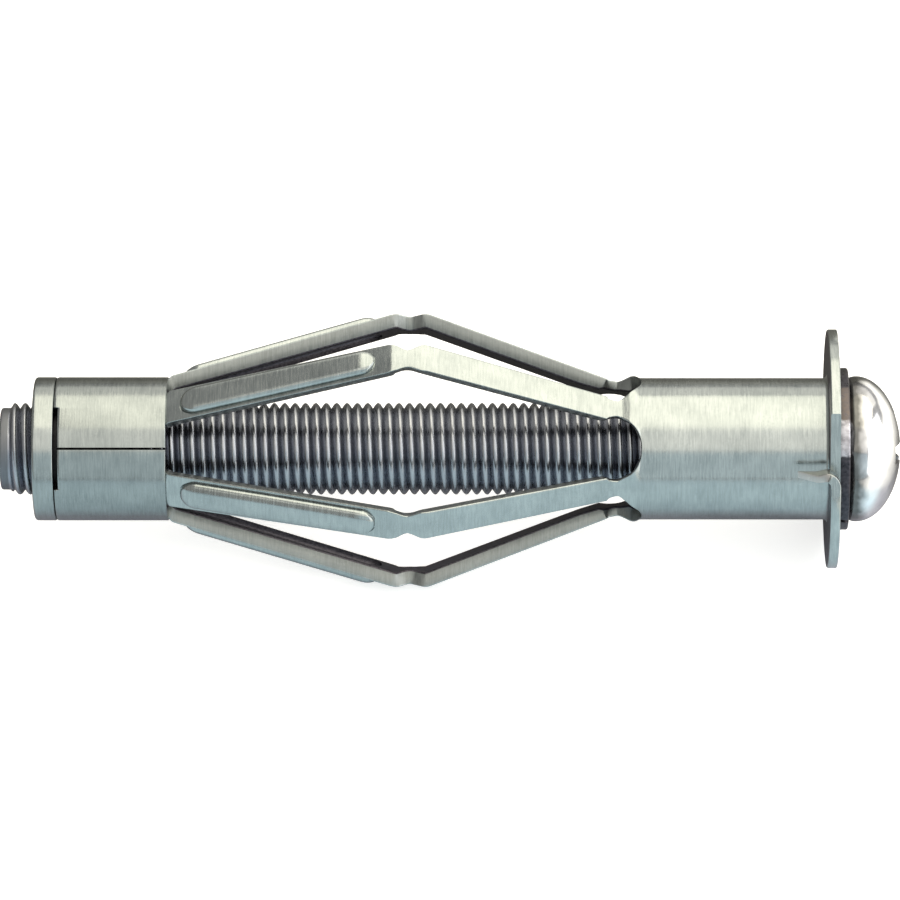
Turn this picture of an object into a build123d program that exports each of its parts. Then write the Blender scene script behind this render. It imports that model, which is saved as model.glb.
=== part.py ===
from build123d import *
import math
import os

# A metal hollow wall anchor as delivered: a slotted sleeve whose five arms already bulge a little, a nut
# held in the sleeve's collar, a domed machine screw and its split lock washer.
# Units are millimetres. The anchor's axis is X, with the screw head at +X. X = 0 is the side of the
# flange that lies on the wall. The anchor lies on its side, as it would on a bench: it rests on the
# knees of its two lowest arms and on the flange's rim, and +Z is up.
# Angles round the axis are turns about +X, counted from straight up.

# Screw. The thread itself isn't drawn: its pitch is 0.905 and it runs over the whole shank.
THREAD_DIAMETER = 8.0
SCREW_LENGTH = 73.7
TIP_LENGTH = 0.75
TIP_INSET = 0.43
TIP_ROUNDING = 0.2
HEAD_OVERHANG = 2.33
HEAD_HEIGHT = 4.62
HEAD_EDGE_HEIGHT = 0.72
HEAD_EDGE_INSET = 0.3
RECESS_WING = 1.65
RECESS_SPAN = 7.2
RECESS_DEPTH = 3.0
RECESS_TAPER = 8.0
RECESS_TIP_SPAN = 3.6

# Split lock washer
WASHER_THICKNESS = 0.94
WASHER_WIDTH = 2.85
WASHER_CLEARANCE = 0.2
WASHER_ROUNDING = 0.18
WASHER_GAP = 0.5
WASHER_GAP_SLANT = 20.0
WASHER_GAP_BELOW_SEAM = 63.0

# Sleeve sheet, shank and flange
SHEET = 1.2
SHANK_CLEARANCE = 0.97
SHANK_LENGTH = 16.15
FLANGE_THICKNESS = 0.86
FLANGE_WIDTH = 4.24
FLANGE_ROOT_RADIUS = 0.35
FLANGE_MOUTH_RADIUS = 1.2
EDGE_ROUNDING = 0.12

# Anti-turn spurs, bent out of the flange's rim towards the wall
SPUR_COUNT = 2
SPUR_LENGTH = 2.8
SPUR_WIDTH = 1.9
SPUR_TIP_WIDTH = 0.35
SPUR_THICKNESS = 0.7
SPUR_BEND_RADIUS = 0.2
SPUR_NOTCH = 0.45
SPUR_BELOW_SEAM = 13.8

# Arms
ARM_COUNT = 5
SEAM_ELEVATION = 51.0
BULGE = 5.94
REAR_RUN = 19.8
KNEE_LENGTH = 2.6
FRONT_RUN = 15.7
HINGE_DIP = 0.3
ROOT_DIP = 0.5
HINGE_LENGTH = 1.0
ROOT_RISE = 1.3
ROOT_LENGTH = 0.75
ARM_RECESS = 0.15
BEND_RADIUS = 0.3
ARM_REAR_WIDTH = 3.45
ARM_FRONT_WIDTH = 3.05
ARM_FRONT_END_WIDTH = 2.6
KNEE_WAIST = 1.9
KNEE_NOTCH_REAR = 1.8
KNEE_NOTCH_FRONT = 1.45
HINGE_WAIST = 2.0
HINGE_NOTCH = 0.9
ROOT_WIDTH = 3.3
PLAN_ROUNDING = 0.5
ARM_SIDE_SHIFT = 0.6
SLOT_END_RADIUS = 3.05
SLOT_CUSP = 1.4

# Pressed bead on each arm's rear run
BEAD_START = 1.3
BEAD_LENGTH = 17.5
BEAD_WIDTH = 2.05
BEAD_HEIGHT = 0.55

# Collar and nut
COLLAR_LENGTH = 9.77
COLLAR_ROUNDING = 0.25
SEAM_GAP = 0.19
NOTCH_ANGLE = 70.0
NOTCH_DEPTH = 0.35
NUT_CLEARANCE = 0.05
HUB_WALL = 0.95
HUB_CLEARANCE = 0.05
HUB_LENGTH = 7.9
RING_THICKNESS = 1.85
RING_REAR_ROUNDING = 0.25
RING_FRONT_ROUNDING = 0.12

# Radii that follow from the sizes above
THREAD_RADIUS = THREAD_DIAMETER / 2
HEAD_RADIUS = THREAD_RADIUS + HEAD_OVERHANG
WASHER_BORE = THREAD_RADIUS + WASHER_CLEARANCE
SHANK_BORE = THREAD_RADIUS + SHANK_CLEARANCE
SHANK_RADIUS = SHANK_BORE + SHEET
FLANGE_RADIUS = SHANK_RADIUS + FLANGE_WIDTH
APEX_RADIUS = SHANK_RADIUS + BULGE
NUT_BORE = THREAD_RADIUS + NUT_CLEARANCE
HUB_RADIUS = NUT_BORE + HUB_WALL
COLLAR_BORE = HUB_RADIUS + HUB_CLEARANCE
COLLAR_RADIUS = COLLAR_BORE + SHEET

# Stations along the axis that follow from the sizes above
HEAD_SEAT = FLANGE_THICKNESS + WASHER_THICKNESS
SCREW_TIP = HEAD_SEAT - SCREW_LENGTH
SLOT_FRONT = -SHANK_LENGTH
ROOT_TOP = SLOT_FRONT - ROOT_LENGTH
ROOT_LOW = ROOT_TOP - ROOT_RISE
HINGE = ROOT_LOW - HINGE_LENGTH
KNEE_FRONT = HINGE - FRONT_RUN
KNEE_REAR = KNEE_FRONT - KNEE_LENGTH
KNEE_MIDDLE = (KNEE_FRONT + KNEE_REAR) / 2
COLLAR_FRONT = KNEE_REAR - REAR_RUN
COLLAR_REAR = COLLAR_FRONT - COLLAR_LENGTH

# Angles round the axis. The arms' ends stand a little aside of their knees, so that the knees of the two
# lowest arms are level.
ARM_PITCH = 360 / ARM_COUNT
ARM_TURN = math.degrees(math.atan2(ARM_SIDE_SHIFT, APEX_RADIUS - SHEET / 2))
SEAM_TURN = 90 - SEAM_ELEVATION

# Length of a cutting tool that passes through everything on one side of the axis
REACH = 2 * max(APEX_RADIUS, FLANGE_RADIUS)


def turned(outline):
    """Solid of revolution round X of a closed outline given as (x, radius)."""
    return revolve(make_face(outline), Axis.X)


def about_axis(angle, shape):
    """The shape, turned by an angle in degrees round the anchor's axis."""
    return Rot(X=angle) * shape


def make_shank():
    """Shank with its flange: rounded mouth inside, small bend radius on the wall side."""
    start = SLOT_FRONT - SLOT_CUSP - ROOT_RISE / 2
    points = [
        (start, SHANK_BORE),
        (FLANGE_THICKNESS, SHANK_BORE),
        (FLANGE_THICKNESS, FLANGE_RADIUS),
        (0, FLANGE_RADIUS),
        (0, SHANK_RADIUS),
        (start, SHANK_RADIUS),
    ]
    radii = [0, FLANGE_MOUTH_RADIUS, EDGE_ROUNDING, EDGE_ROUNDING, FLANGE_ROOT_RADIUS, 0]
    shank = turned(FilletPolyline(*points, radius=radii, close=True))
    slot_end = Pos(X=SLOT_FRONT - SLOT_END_RADIUS) * Cylinder(
        SLOT_END_RADIUS, REACH, align=(Align.CENTER, Align.CENTER, Align.MIN)
    )
    for number in range(ARM_COUNT):
        shank -= about_axis(ARM_TURN + ARM_PITCH * (number + 0.5), slot_end)
    return shank


def make_collar():
    """Collar ring with its lengthwise seam and the shallow notch beside the seam."""
    points = [
        (COLLAR_REAR, COLLAR_BORE),
        (COLLAR_FRONT, COLLAR_BORE),
        (COLLAR_FRONT, COLLAR_RADIUS),
        (COLLAR_REAR, COLLAR_RADIUS),
    ]
    radii = [0, 0, EDGE_ROUNDING, COLLAR_ROUNDING]
    collar = turned(FilletPolyline(*points, radius=radii, close=True))
    seam = Box(
        COLLAR_LENGTH + 2 * SHEET, SEAM_GAP, REACH, align=(Align.MAX, Align.CENTER, Align.MIN)
    )
    collar -= about_axis(SEAM_TURN, Pos(X=COLLAR_FRONT + SHEET) * seam)
    notch_outline = Polyline(
        (COLLAR_REAR - SHEET, COLLAR_BORE - SHEET),
        (COLLAR_REAR + NOTCH_DEPTH, COLLAR_BORE - SHEET),
        (COLLAR_REAR + NOTCH_DEPTH, COLLAR_RADIUS + SHEET),
        (COLLAR_REAR - SHEET, COLLAR_RADIUS + SHEET),
        close=True,
    )
    notch = revolve(make_face(notch_outline), Axis.X, revolution_arc=NOTCH_ANGLE)
    return collar - about_axis(SEAM_TURN + 90 - NOTCH_ANGLE / 2, notch)


def make_arm_sheet():
    """Side view of an arm: a bent strip of sheet, drawn along its middle and given its thickness."""
    half = SHEET / 2
    root = COLLAR_RADIUS - ARM_RECESS - half
    middle = SHANK_RADIUS - half
    path = [
        (COLLAR_FRONT - SHEET, root),
        (COLLAR_FRONT, root),
        (KNEE_REAR, APEX_RADIUS - half),
        (KNEE_FRONT, APEX_RADIUS - half),
        (HINGE, middle - HINGE_DIP),
        (ROOT_LOW, middle - ROOT_DIP),
        (ROOT_TOP, middle),
        (SLOT_FRONT + SHEET, middle - ROOT_DIP),
    ]
    line = FilletPolyline(*path, radius=BEND_RADIUS + half)
    return Plane.XZ * trace(line, line_width=SHEET)


def make_arm_outline():
    """Plan of an arm, seen along its radius: wide rear run, necked knee, tapering front run, necked root."""
    edges = []
    for side in (-1, 1):
        rear = side * ARM_REAR_WIDTH / 2
        front = side * ARM_FRONT_WIDTH / 2 + ARM_SIDE_SHIFT
        start = Vector(COLLAR_FRONT - SHEET, rear)
        crease = Vector(COLLAR_FRONT, rear)
        knee_rear = Vector(KNEE_MIDDLE - KNEE_NOTCH_REAR, rear + ARM_SIDE_SHIFT)
        knee_waist = Vector(KNEE_MIDDLE, side * KNEE_WAIST / 2 + ARM_SIDE_SHIFT)
        knee_front = Vector(KNEE_MIDDLE + KNEE_NOTCH_FRONT, front)
        hinge_rear = Vector(HINGE - HINGE_NOTCH, side * ARM_FRONT_END_WIDTH / 2)
        hinge_waist = Vector(ROOT_LOW, side * HINGE_WAIST / 2)
        root = Vector(ROOT_TOP, side * ROOT_WIDTH / 2)
        end = Vector(SLOT_FRONT + SHEET, side * ROOT_WIDTH / 2)
        edges += [
            Line(start, crease),
            Line(crease, knee_rear),
            ThreePointArc(knee_rear, knee_waist, knee_front),
            Line(knee_front, hinge_rear),
            ThreePointArc(hinge_rear, hinge_waist, root),
            Line(root, end),
        ]
    rear_width = Vector(0, ARM_REAR_WIDTH / 2)
    root_width = Vector(0, ROOT_WIDTH / 2)
    edges.append(Line(Vector(COLLAR_FRONT - SHEET) - rear_width, Vector(COLLAR_FRONT - SHEET) + rear_width))
    edges.append(Line(Vector(SLOT_FRONT + SHEET) - root_width, Vector(SLOT_FRONT + SHEET) + root_width))
    plan = make_face(edges)
    corners = plan.vertices().filter_by(lambda vertex: COLLAR_FRONT < vertex.X - PLAN_ROUNDING < HINGE)
    return fillet(corners, PLAN_ROUNDING)


def make_bead():
    """Capsule along the rear run whose top stands out of the arm as the pressed bead."""
    half_width = BEAD_WIDTH / 2
    radius = (half_width**2 + BEAD_HEIGHT**2) / (2 * BEAD_HEIGHT)
    half_length = BEAD_LENGTH / 2 - half_width + radius
    capsule = revolve(
        make_face(
            [
                Line((-half_length, 0), (half_length, 0)),
                Line((radius - half_length, radius), (half_length - radius, radius)),
                RadiusArc((-half_length, 0), (radius - half_length, radius), radius),
                RadiusArc((half_length - radius, radius), (half_length, 0), radius),
            ]
        ),
        Axis.X,
    )
    return Pos(Z=BEAD_HEIGHT - radius) * capsule


def make_arm():
    """One arm, with its knee pointing straight up and its ends turned a little aside."""
    sheet = extrude(make_arm_sheet(), amount=REACH / 2, both=True)
    outline = extrude(make_arm_outline(), amount=REACH)
    arm = sheet & outline
    rise = APEX_RADIUS - COLLAR_RADIUS + ARM_RECESS
    slope = math.degrees(math.atan2(rise, REAR_RUN))
    drift = math.degrees(math.atan2(ARM_SIDE_SHIFT, REAR_RUN))
    along = Rot(Z=drift) * Rot(Y=-slope)
    face = Pos(COLLAR_FRONT, 0, COLLAR_RADIUS - ARM_RECESS) * along
    bead = face * Pos(X=BEAD_START + BEAD_LENGTH / 2) * make_bead()
    hollow = face * Pos(BEAD_START + BEAD_LENGTH / 2, 0, -SHEET) * make_bead()
    return arm + bead - hollow


def make_spur():
    """Strip bent from the flange's rim towards the wall, tapering to its tip. Its radius points up."""
    half = SPUR_THICKNESS / 2
    flange_middle = FLANGE_THICKNESS / 2
    strip = trace(
        FilletPolyline(
            (flange_middle, -SPUR_WIDTH),
            (flange_middle, 0),
            (-SPUR_LENGTH, 0),
            radius=SPUR_BEND_RADIUS + half,
        ),
        line_width=SPUR_THICKNESS,
    )
    spur = extrude(Pos(Z=FLANGE_RADIUS - SPUR_WIDTH) * strip, amount=SPUR_WIDTH)
    taper = Polyline(
        (0, FLANGE_RADIUS + SPUR_WIDTH),
        (0, FLANGE_RADIUS),
        (-SPUR_LENGTH, FLANGE_RADIUS - SPUR_WIDTH + SPUR_TIP_WIDTH),
        (-SPUR_LENGTH - SHEET, FLANGE_RADIUS - SPUR_WIDTH + SPUR_TIP_WIDTH),
        (-SPUR_LENGTH - SHEET, FLANGE_RADIUS + SPUR_WIDTH),
        close=True,
    )
    return spur - extrude(Plane.XZ * make_face(taper), amount=REACH / 2, both=True)


def make_sleeve():
    """The whole folded sheet piece: flange, spurs, shank, arms and collar."""
    sleeve = make_shank() + make_collar()
    arm = make_arm()
    sleeve += [about_axis(ARM_TURN + ARM_PITCH * number, arm) for number in range(ARM_COUNT)]
    bore_depth = SHANK_LENGTH + SLOT_CUSP
    sleeve -= Pos(X=-bore_depth) * Rot(Y=90) * Cylinder(
        SHANK_BORE, bore_depth, align=(Align.CENTER, Align.CENTER, Align.MIN)
    )
    sleeve -= Pos(X=COLLAR_REAR) * Rot(Y=90) * Cylinder(
        COLLAR_BORE, COLLAR_LENGTH, align=(Align.CENTER, Align.CENTER, Align.MIN)
    )
    bend = SPUR_BEND_RADIUS + SPUR_THICKNESS / 2
    notch = Pos(0, -bend, FLANGE_RADIUS - SPUR_WIDTH) * Box(
        4 * FLANGE_THICKNESS,
        bend + SPUR_THICKNESS / 2 + SPUR_NOTCH,
        2 * SPUR_WIDTH,
        align=(Align.CENTER, Align.MIN, Align.MIN),
    )
    for number in range(SPUR_COUNT):
        angle = SEAM_TURN + SPUR_BELOW_SEAM + number * 360 / SPUR_COUNT
        sleeve -= about_axis(angle, notch)
        sleeve += about_axis(angle, make_spur())
    return sleeve


def make_nut():
    """End ring against the collar and a hub inside it. The bore stands for the thread's major diameter."""
    ring_rear = COLLAR_REAR - RING_THICKNESS
    points = [
        (ring_rear, NUT_BORE),
        (COLLAR_REAR + HUB_LENGTH, NUT_BORE),
        (COLLAR_REAR + HUB_LENGTH, HUB_RADIUS),
        (COLLAR_REAR, HUB_RADIUS),
        (COLLAR_REAR, COLLAR_RADIUS),
        (ring_rear, COLLAR_RADIUS),
    ]
    radii = [0, 0, EDGE_ROUNDING, 0, RING_FRONT_ROUNDING, RING_REAR_ROUNDING]
    return turned(FilletPolyline(*points, radius=radii, close=True))


def make_lock_washer():
    """Split washer, drawn flat, with a slanting gap through one side."""
    points = [
        (FLANGE_THICKNESS, WASHER_BORE),
        (HEAD_SEAT, WASHER_BORE),
        (HEAD_SEAT, WASHER_BORE + WASHER_WIDTH),
        (FLANGE_THICKNESS, WASHER_BORE + WASHER_WIDTH),
    ]
    radii = [0, 0, WASHER_ROUNDING, EDGE_ROUNDING]
    washer = turned(FilletPolyline(*points, radius=radii, close=True))
    gap = Pos(X=(FLANGE_THICKNESS + HEAD_SEAT) / 2) * Rot(Z=WASHER_GAP_SLANT) * Box(
        4 * WASHER_THICKNESS, WASHER_GAP, REACH, align=(Align.CENTER, Align.CENTER, Align.MIN)
    )
    return washer - about_axis(SEAM_TURN + WASHER_GAP_BELOW_SEAM, gap)


def make_recess():
    """Cross recess, tapering from the dome towards its floor, as a solid to cut away."""
    mouth = HEAD_SEAT + HEAD_HEIGHT
    floor = mouth - RECESS_DEPTH
    widening = math.tan(math.radians(RECESS_TAPER)) * RECESS_DEPTH
    recess = None
    for turn in (0, 90):
        lower = Plane.YZ.offset(floor) * Rot(Z=turn) * Rectangle(RECESS_TIP_SPAN, RECESS_WING - widening)
        upper = Plane.YZ.offset(mouth) * Rot(Z=turn) * Rectangle(RECESS_SPAN, RECESS_WING)
        wing = loft([lower, upper])
        recess = wing if recess is None else recess + wing
    return about_axis(SEAM_TURN, recess)


def make_screw():
    """Machine screw. Its shank is drawn plain at the thread's major diameter."""
    top = HEAD_SEAT + HEAD_HEIGHT
    widest = HEAD_SEAT + HEAD_EDGE_HEIGHT
    seat_radius = HEAD_RADIUS - HEAD_EDGE_INSET
    under_edge = ThreePointArc(
        (HEAD_SEAT, seat_radius),
        (HEAD_SEAT + HEAD_EDGE_HEIGHT * (1 - math.sqrt(0.5)), seat_radius + HEAD_EDGE_INSET * math.sqrt(0.5)),
        (widest, HEAD_RADIUS),
    )
    dome = EllipticalCenterArc((widest, 0), top - widest, HEAD_RADIUS, start_angle=0, arc_size=90)
    tip = FilletPolyline(
        (SCREW_TIP, 0),
        (SCREW_TIP, THREAD_RADIUS - TIP_INSET),
        (SCREW_TIP + TIP_LENGTH, THREAD_RADIUS - TIP_INSET),
        (SCREW_TIP + TIP_LENGTH + TIP_INSET, THREAD_RADIUS),
        (HEAD_SEAT, THREAD_RADIUS),
        radius=[TIP_ROUNDING, 0, 0],
    )
    outline = [
        tip,
        Line((HEAD_SEAT, THREAD_RADIUS), (HEAD_SEAT, seat_radius)),
        under_edge,
        dome,
        Line((top, 0), (SCREW_TIP, 0)),
    ]
    return turned(outline) - make_recess()


os.makedirs("parts", exist_ok=True)
export_step(make_sleeve(), "parts/sleeve.step")
export_step(make_nut(), "parts/nut.step")
export_step(make_lock_washer(), "parts/lock_washer.step")
export_step(make_screw(), "parts/screw.step")
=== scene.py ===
"""Looks of the metal hollow wall anchor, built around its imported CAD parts.

Lengths are in millimetres until a surface becomes a mesh. The anchor's axis is X, with the screw head at
+X and the wall side of the flange at X = 0. Angles round the axis are turns about +X from straight up.
"""

from __future__ import annotations

import logging
import math
from dataclasses import dataclass, replace
from enum import Enum, IntEnum
from functools import cache

import bmesh
import bpy
import numpy as np
from mathutils import Matrix, Vector

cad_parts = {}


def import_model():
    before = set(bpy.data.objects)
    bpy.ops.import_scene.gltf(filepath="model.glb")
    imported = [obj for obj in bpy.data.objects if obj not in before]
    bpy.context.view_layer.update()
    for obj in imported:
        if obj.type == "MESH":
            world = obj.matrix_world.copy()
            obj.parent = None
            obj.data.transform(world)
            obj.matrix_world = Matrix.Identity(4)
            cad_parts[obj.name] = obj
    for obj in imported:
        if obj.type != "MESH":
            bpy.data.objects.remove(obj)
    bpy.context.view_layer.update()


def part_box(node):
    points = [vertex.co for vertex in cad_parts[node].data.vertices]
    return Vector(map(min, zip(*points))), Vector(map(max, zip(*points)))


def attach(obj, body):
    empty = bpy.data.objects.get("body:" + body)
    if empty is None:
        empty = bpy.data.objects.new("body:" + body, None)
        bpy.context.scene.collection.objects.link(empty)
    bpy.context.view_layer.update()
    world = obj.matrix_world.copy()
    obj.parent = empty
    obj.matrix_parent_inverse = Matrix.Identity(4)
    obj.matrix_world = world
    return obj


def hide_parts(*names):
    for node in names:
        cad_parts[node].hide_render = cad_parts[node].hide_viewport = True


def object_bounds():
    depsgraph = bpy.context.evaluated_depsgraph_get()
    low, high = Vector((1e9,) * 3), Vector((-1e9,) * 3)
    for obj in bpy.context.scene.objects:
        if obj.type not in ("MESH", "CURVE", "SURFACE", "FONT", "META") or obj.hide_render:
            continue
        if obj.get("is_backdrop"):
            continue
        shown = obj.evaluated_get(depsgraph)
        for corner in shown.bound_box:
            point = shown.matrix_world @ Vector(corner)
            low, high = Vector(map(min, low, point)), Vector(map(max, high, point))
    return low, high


Socket = bpy.types.NodeSocket
LOG = logging.getLogger("anchor")
MM = 0.001
WELD_MM = 0.0005
CRISP = 40.0


class Role(Enum):
    """The body that a piece rides on, the solid that it stands for and the slot of its finish."""

    SLEEVE = ("sleeve", "sleeve", "sleeve_zinc")
    NUT = ("sleeve", "nut", "nut_zinc")
    WASHER = ("lock_washer", "lock_washer", "washer_dark")
    SCREW = ("screw", "screw", "screw_steel")

    def __init__(self, body: str, node: str, slot: str) -> None:
        """Spreads the member's three names."""
        self.body, self.node, self.slot = body, node, slot


class Coat(IntEnum):
    """Which of its piece's finishes a face has."""

    MAIN = 0
    SECOND = 1
    CUT = 2


def smooth_step(value: np.ndarray, low: float, high: float) -> np.ndarray:
    """Rises from 0 at low to 1 at high along 3t^2 - 2t^3."""
    share = np.clip((value - low) / (high - low), 0.0, 1.0)
    return share * share * (3.0 - 2.0 * share)


def run(x: float | list[float], radius: float | list[float]) -> np.ndarray:
    """Rows of (x, r) along a straight part of a section, where one of the two may stay the same."""
    return np.stack(np.broadcast_arrays(np.array(x, float), np.array(radius, float)), axis=1)


def rounded(corner: tuple[float, float], radius: float, start: float, end: float, count: int) -> np.ndarray:
    """Quarter circle that rounds a corner: centre + radius * (cos a, sin a), tangent to both sides.

    Args:
        corner: The sharp corner as (x, r).
        radius: Radius of the arc.
        start: First angle in degrees, a multiple of 90.
        end: Last angle, a quarter turn away.
        count: Number of points.

    Returns:
        An array of count rows (x, r).
    """
    ends = np.radians([start, end])
    centre = np.array(corner) - radius * np.round([np.cos(ends).sum(), np.sin(ends).sum()])
    angles = np.radians(np.linspace(start, end, count))
    return centre + radius * np.stack([np.cos(angles), np.sin(angles)], axis=1)


def about_axis(points: np.ndarray, degrees: float) -> np.ndarray:
    """Points turned about the anchor's axis.

    Args:
        points: Array whose last axis is x, y, z.
        degrees: Right-handed turn about +X.

    Returns:
        The turned points, an array like points.
    """
    angle = math.radians(degrees)
    x, y, z = np.moveaxis(points, -1, 0)
    turned_y = y * math.cos(angle) - z * math.sin(angle)
    turned_z = y * math.sin(angle) + z * math.cos(angle)
    return np.stack([x, turned_y, turned_z], axis=-1)


def on_rings(x: np.ndarray, radius: np.ndarray, angle: np.ndarray) -> np.ndarray:
    """Points (x, -r sin a, r cos a), from three arrays that fit together by broadcasting."""
    y = -radius * np.sin(angle)
    return np.stack([x + np.zeros_like(y), y, radius * np.cos(angle)], axis=-1)


def turned(profile: np.ndarray, angles: np.ndarray | int) -> np.ndarray:
    """Surface of revolution of a section.

    Args:
        profile: Rows of (x, r).
        angles: Turn in radians of each column or of each point, or the number of columns once round.

    Returns:
        A grid of points, rows by columns by 3.
    """
    if isinstance(angles, int):
        angles = 2 * math.pi * np.arange(angles) / angles
    return on_rings(profile[:, :1], profile[:, 1:], angles)


def mirrored(right: np.ndarray, sign: float) -> np.ndarray:
    """Columns of the right half, after their mirror image times a sign."""
    return np.concatenate([sign * right[..., :0:-1], right], axis=-1)


def linked(name: str, data: bpy.types.ID) -> bpy.types.Object:
    """New object in the scene, at the origin.

    Args:
        name: Name of the object.
        data: Its mesh, light or camera.

    Returns:
        The object.
    """
    made = bpy.data.objects.new(name, data)
    bpy.context.scene.collection.objects.link(made)
    return made


def shade(mesh: bpy.types.Mesh, sharp: float) -> None:
    """Shades a mesh smooth, apart from its crisp edges.

    Args:
        mesh: The mesh.
        sharp: An edge between faces that turn by more than these degrees stays crisp.
    """
    mesh.polygons.foreach_set("use_smooth", np.ones(len(mesh.polygons), dtype=bool))
    mesh.set_sharp_from_angle(angle=math.radians(sharp))
    mesh.update()


class Surface:
    """Points and faces gathered from grids, before they become one closed mesh."""

    def __init__(self) -> None:
        """Starts with nothing."""
        self.points: list[np.ndarray] = []
        self.faces: list[list[int]] = []
        self.coats: list[int] = []
        self.count = 0

    def add_quads(
        self, a: np.ndarray, b: np.ndarray, c: np.ndarray, d: np.ndarray, coat: np.ndarray | int = Coat.MAIN
    ) -> None:
        """Stores a four-sided face for each place in four arrays of indices, with its finish's number."""
        self.faces += np.stack([a.ravel(), b.ravel(), c.ravel(), d.ravel()], axis=1).tolist()
        self.coats += np.broadcast_to(coat, a.shape).ravel().tolist()

    def add_grid(
        self,
        points: np.ndarray,
        ring_rows: bool = False,
        ring_columns: bool = False,
        coat: np.ndarray | int = Coat.MAIN,
    ) -> np.ndarray:
        """Stores a grid of points and the faces between its neighbours.

        Args:
            points: Rows by columns by 3.
            ring_rows: Whether the last row joins the first one.
            ring_columns: Whether the last column joins the first one.
            coat: Number of the finish of all faces, or of those that follow each row or each point.

        Returns:
            The index of each point, rows by columns.
        """
        index = self.count + np.arange(points[..., 0].size).reshape(points.shape[:2])
        self.points.append(points.reshape(-1, 3))
        self.count += index.size
        around = np.pad(index, ((0, int(ring_rows)), (0, int(ring_columns))), mode="wrap")
        coats = np.broadcast_to(np.asarray(coat, int).T, index.T.shape).T
        coats = coats[: around.shape[0] - 1, : around.shape[1] - 1]
        self.add_quads(around[:-1, :-1], around[1:, :-1], around[1:, 1:], around[:-1, 1:], coats)
        return index

    def add_caps(self, coat: int, *rings: np.ndarray) -> None:
        """Closes rings of points with one flat face each, which has the finish of that number."""
        self.faces += [ring.tolist() for ring in rings]
        self.coats += [coat] * len(rings)

    def make(self, name: str, sharp: float) -> bpy.types.Object:
        """Turns what was gathered into an object whose place is in its mesh.

        Args:
            name: Name of the object.
            sharp: An edge between faces that turn by more than these degrees stays crisp.

        Returns:
            The new object, its doubles merged and its faces pointing outwards.
        """
        mesh = bpy.data.meshes.new(name)
        mesh.from_pydata((np.concatenate(self.points) * MM).tolist(), [], self.faces)
        mesh.polygons.foreach_set("material_index", self.coats)
        shape = bmesh.new()
        shape.from_mesh(mesh)
        bmesh.ops.remove_doubles(shape, verts=shape.verts, dist=WELD_MM * MM)
        bmesh.ops.dissolve_degenerate(shape, edges=shape.edges, dist=WELD_MM * MM)
        bmesh.ops.recalc_face_normals(shape, faces=shape.faces)
        shape.to_mesh(mesh)
        shape.free()
        shade(mesh, sharp)
        return linked(name, mesh)


def cut_away(target: bpy.types.Object, cutter: bpy.types.Object, sharp: float) -> None:
    """Cuts one closed mesh out of another and removes the cutter.

    Args:
        target: The object that loses material.
        cutter: The object that is cut out of it.
        sharp: An edge between faces that turn by more than these degrees stays crisp.
    """
    modifier = target.modifiers.new("cut", "BOOLEAN")
    modifier.operation = "DIFFERENCE"
    modifier.solver = "EXACT"
    modifier.object = cutter
    bpy.context.view_layer.update()
    evaluated = target.evaluated_get(bpy.context.evaluated_depsgraph_get())
    mesh = bpy.data.meshes.new_from_object(evaluated)
    target.modifiers.remove(modifier)
    target.data = mesh
    mesh.name = target.name
    shade(mesh, sharp)
    bpy.data.objects.remove(cutter)


def block(name: str, lower: np.ndarray, upper: np.ndarray, coat: int = Coat.MAIN) -> bpy.types.Object:
    """Closed block between two four-cornered faces.

    Args:
        name: Name of the object.
        lower: Four corners of one face, in order round it.
        upper: The matching corners of the other face.
        coat: Number of the finish that its faces take.

    Returns:
        The block as an object.
    """
    surface = Surface()
    index = surface.add_grid(np.stack([lower, upper]), ring_columns=True, coat=coat)
    surface.add_caps(coat, *index)
    return surface.make(name, CRISP)


@dataclass(frozen=True)
class BentLine:
    """A line of straight runs with rounded corners, which can be sampled by the length along it."""

    length: np.ndarray
    x: np.ndarray
    z: np.ndarray
    heading: np.ndarray

    @classmethod
    def through(cls, corners: list[tuple[float, float]], radii: list[float], per_corner: int = 9) -> BentLine:
        """Rounds each corner with an arc that is tangent to both of its runs.

        Args:
            corners: The corners as (x, z).
            radii: Radius of each arc, one for each inner corner.
            per_corner: Number of points on each arc.

        Returns:
            The rounded line.
        """
        runs = [math.atan2(end[1] - start[1], end[0] - start[0]) for start, end in zip(corners, corners[1:])]
        places, headings = [np.array(corners[:1])], [np.array(runs[:1])]
        for corner, come, leave, radius in zip(corners[1:], runs, runs[1:], radii):
            turn = math.remainder(leave - come, 2 * math.pi)
            reach = radius * math.tan(abs(turn) / 2)
            side = math.copysign(radius, turn)
            start = np.array(corner) - reach * np.array([math.cos(come), math.sin(come)])
            centre = start + side * np.array([-math.sin(come), math.cos(come)])
            swept = come + turn * np.linspace(0.0, 1.0, per_corner)
            places.append(centre + side * np.stack([np.sin(swept), -np.cos(swept)], axis=1))
            headings.append(swept)
        line = np.concatenate([*places, np.array(corners[-1:])])
        heading = np.concatenate([*headings, headings[-1][-1:]])
        length = np.concatenate([[0.0], np.cumsum(np.hypot(*np.diff(line, axis=0).T))])
        return cls(length, line[:, 0], line[:, 1], heading)

    def at(self, length: np.ndarray) -> tuple[np.ndarray, ...]:
        """The x, the z and the heading in radians at given lengths along the line."""
        return tuple(np.interp(length, self.length, given) for given in (self.x, self.z, self.heading))

    def length_at(self, x: np.ndarray | float) -> np.ndarray:
        """Length along the line at which it reaches x, for a line that always runs towards +x."""
        return np.interp(x, self.x, self.length)


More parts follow.
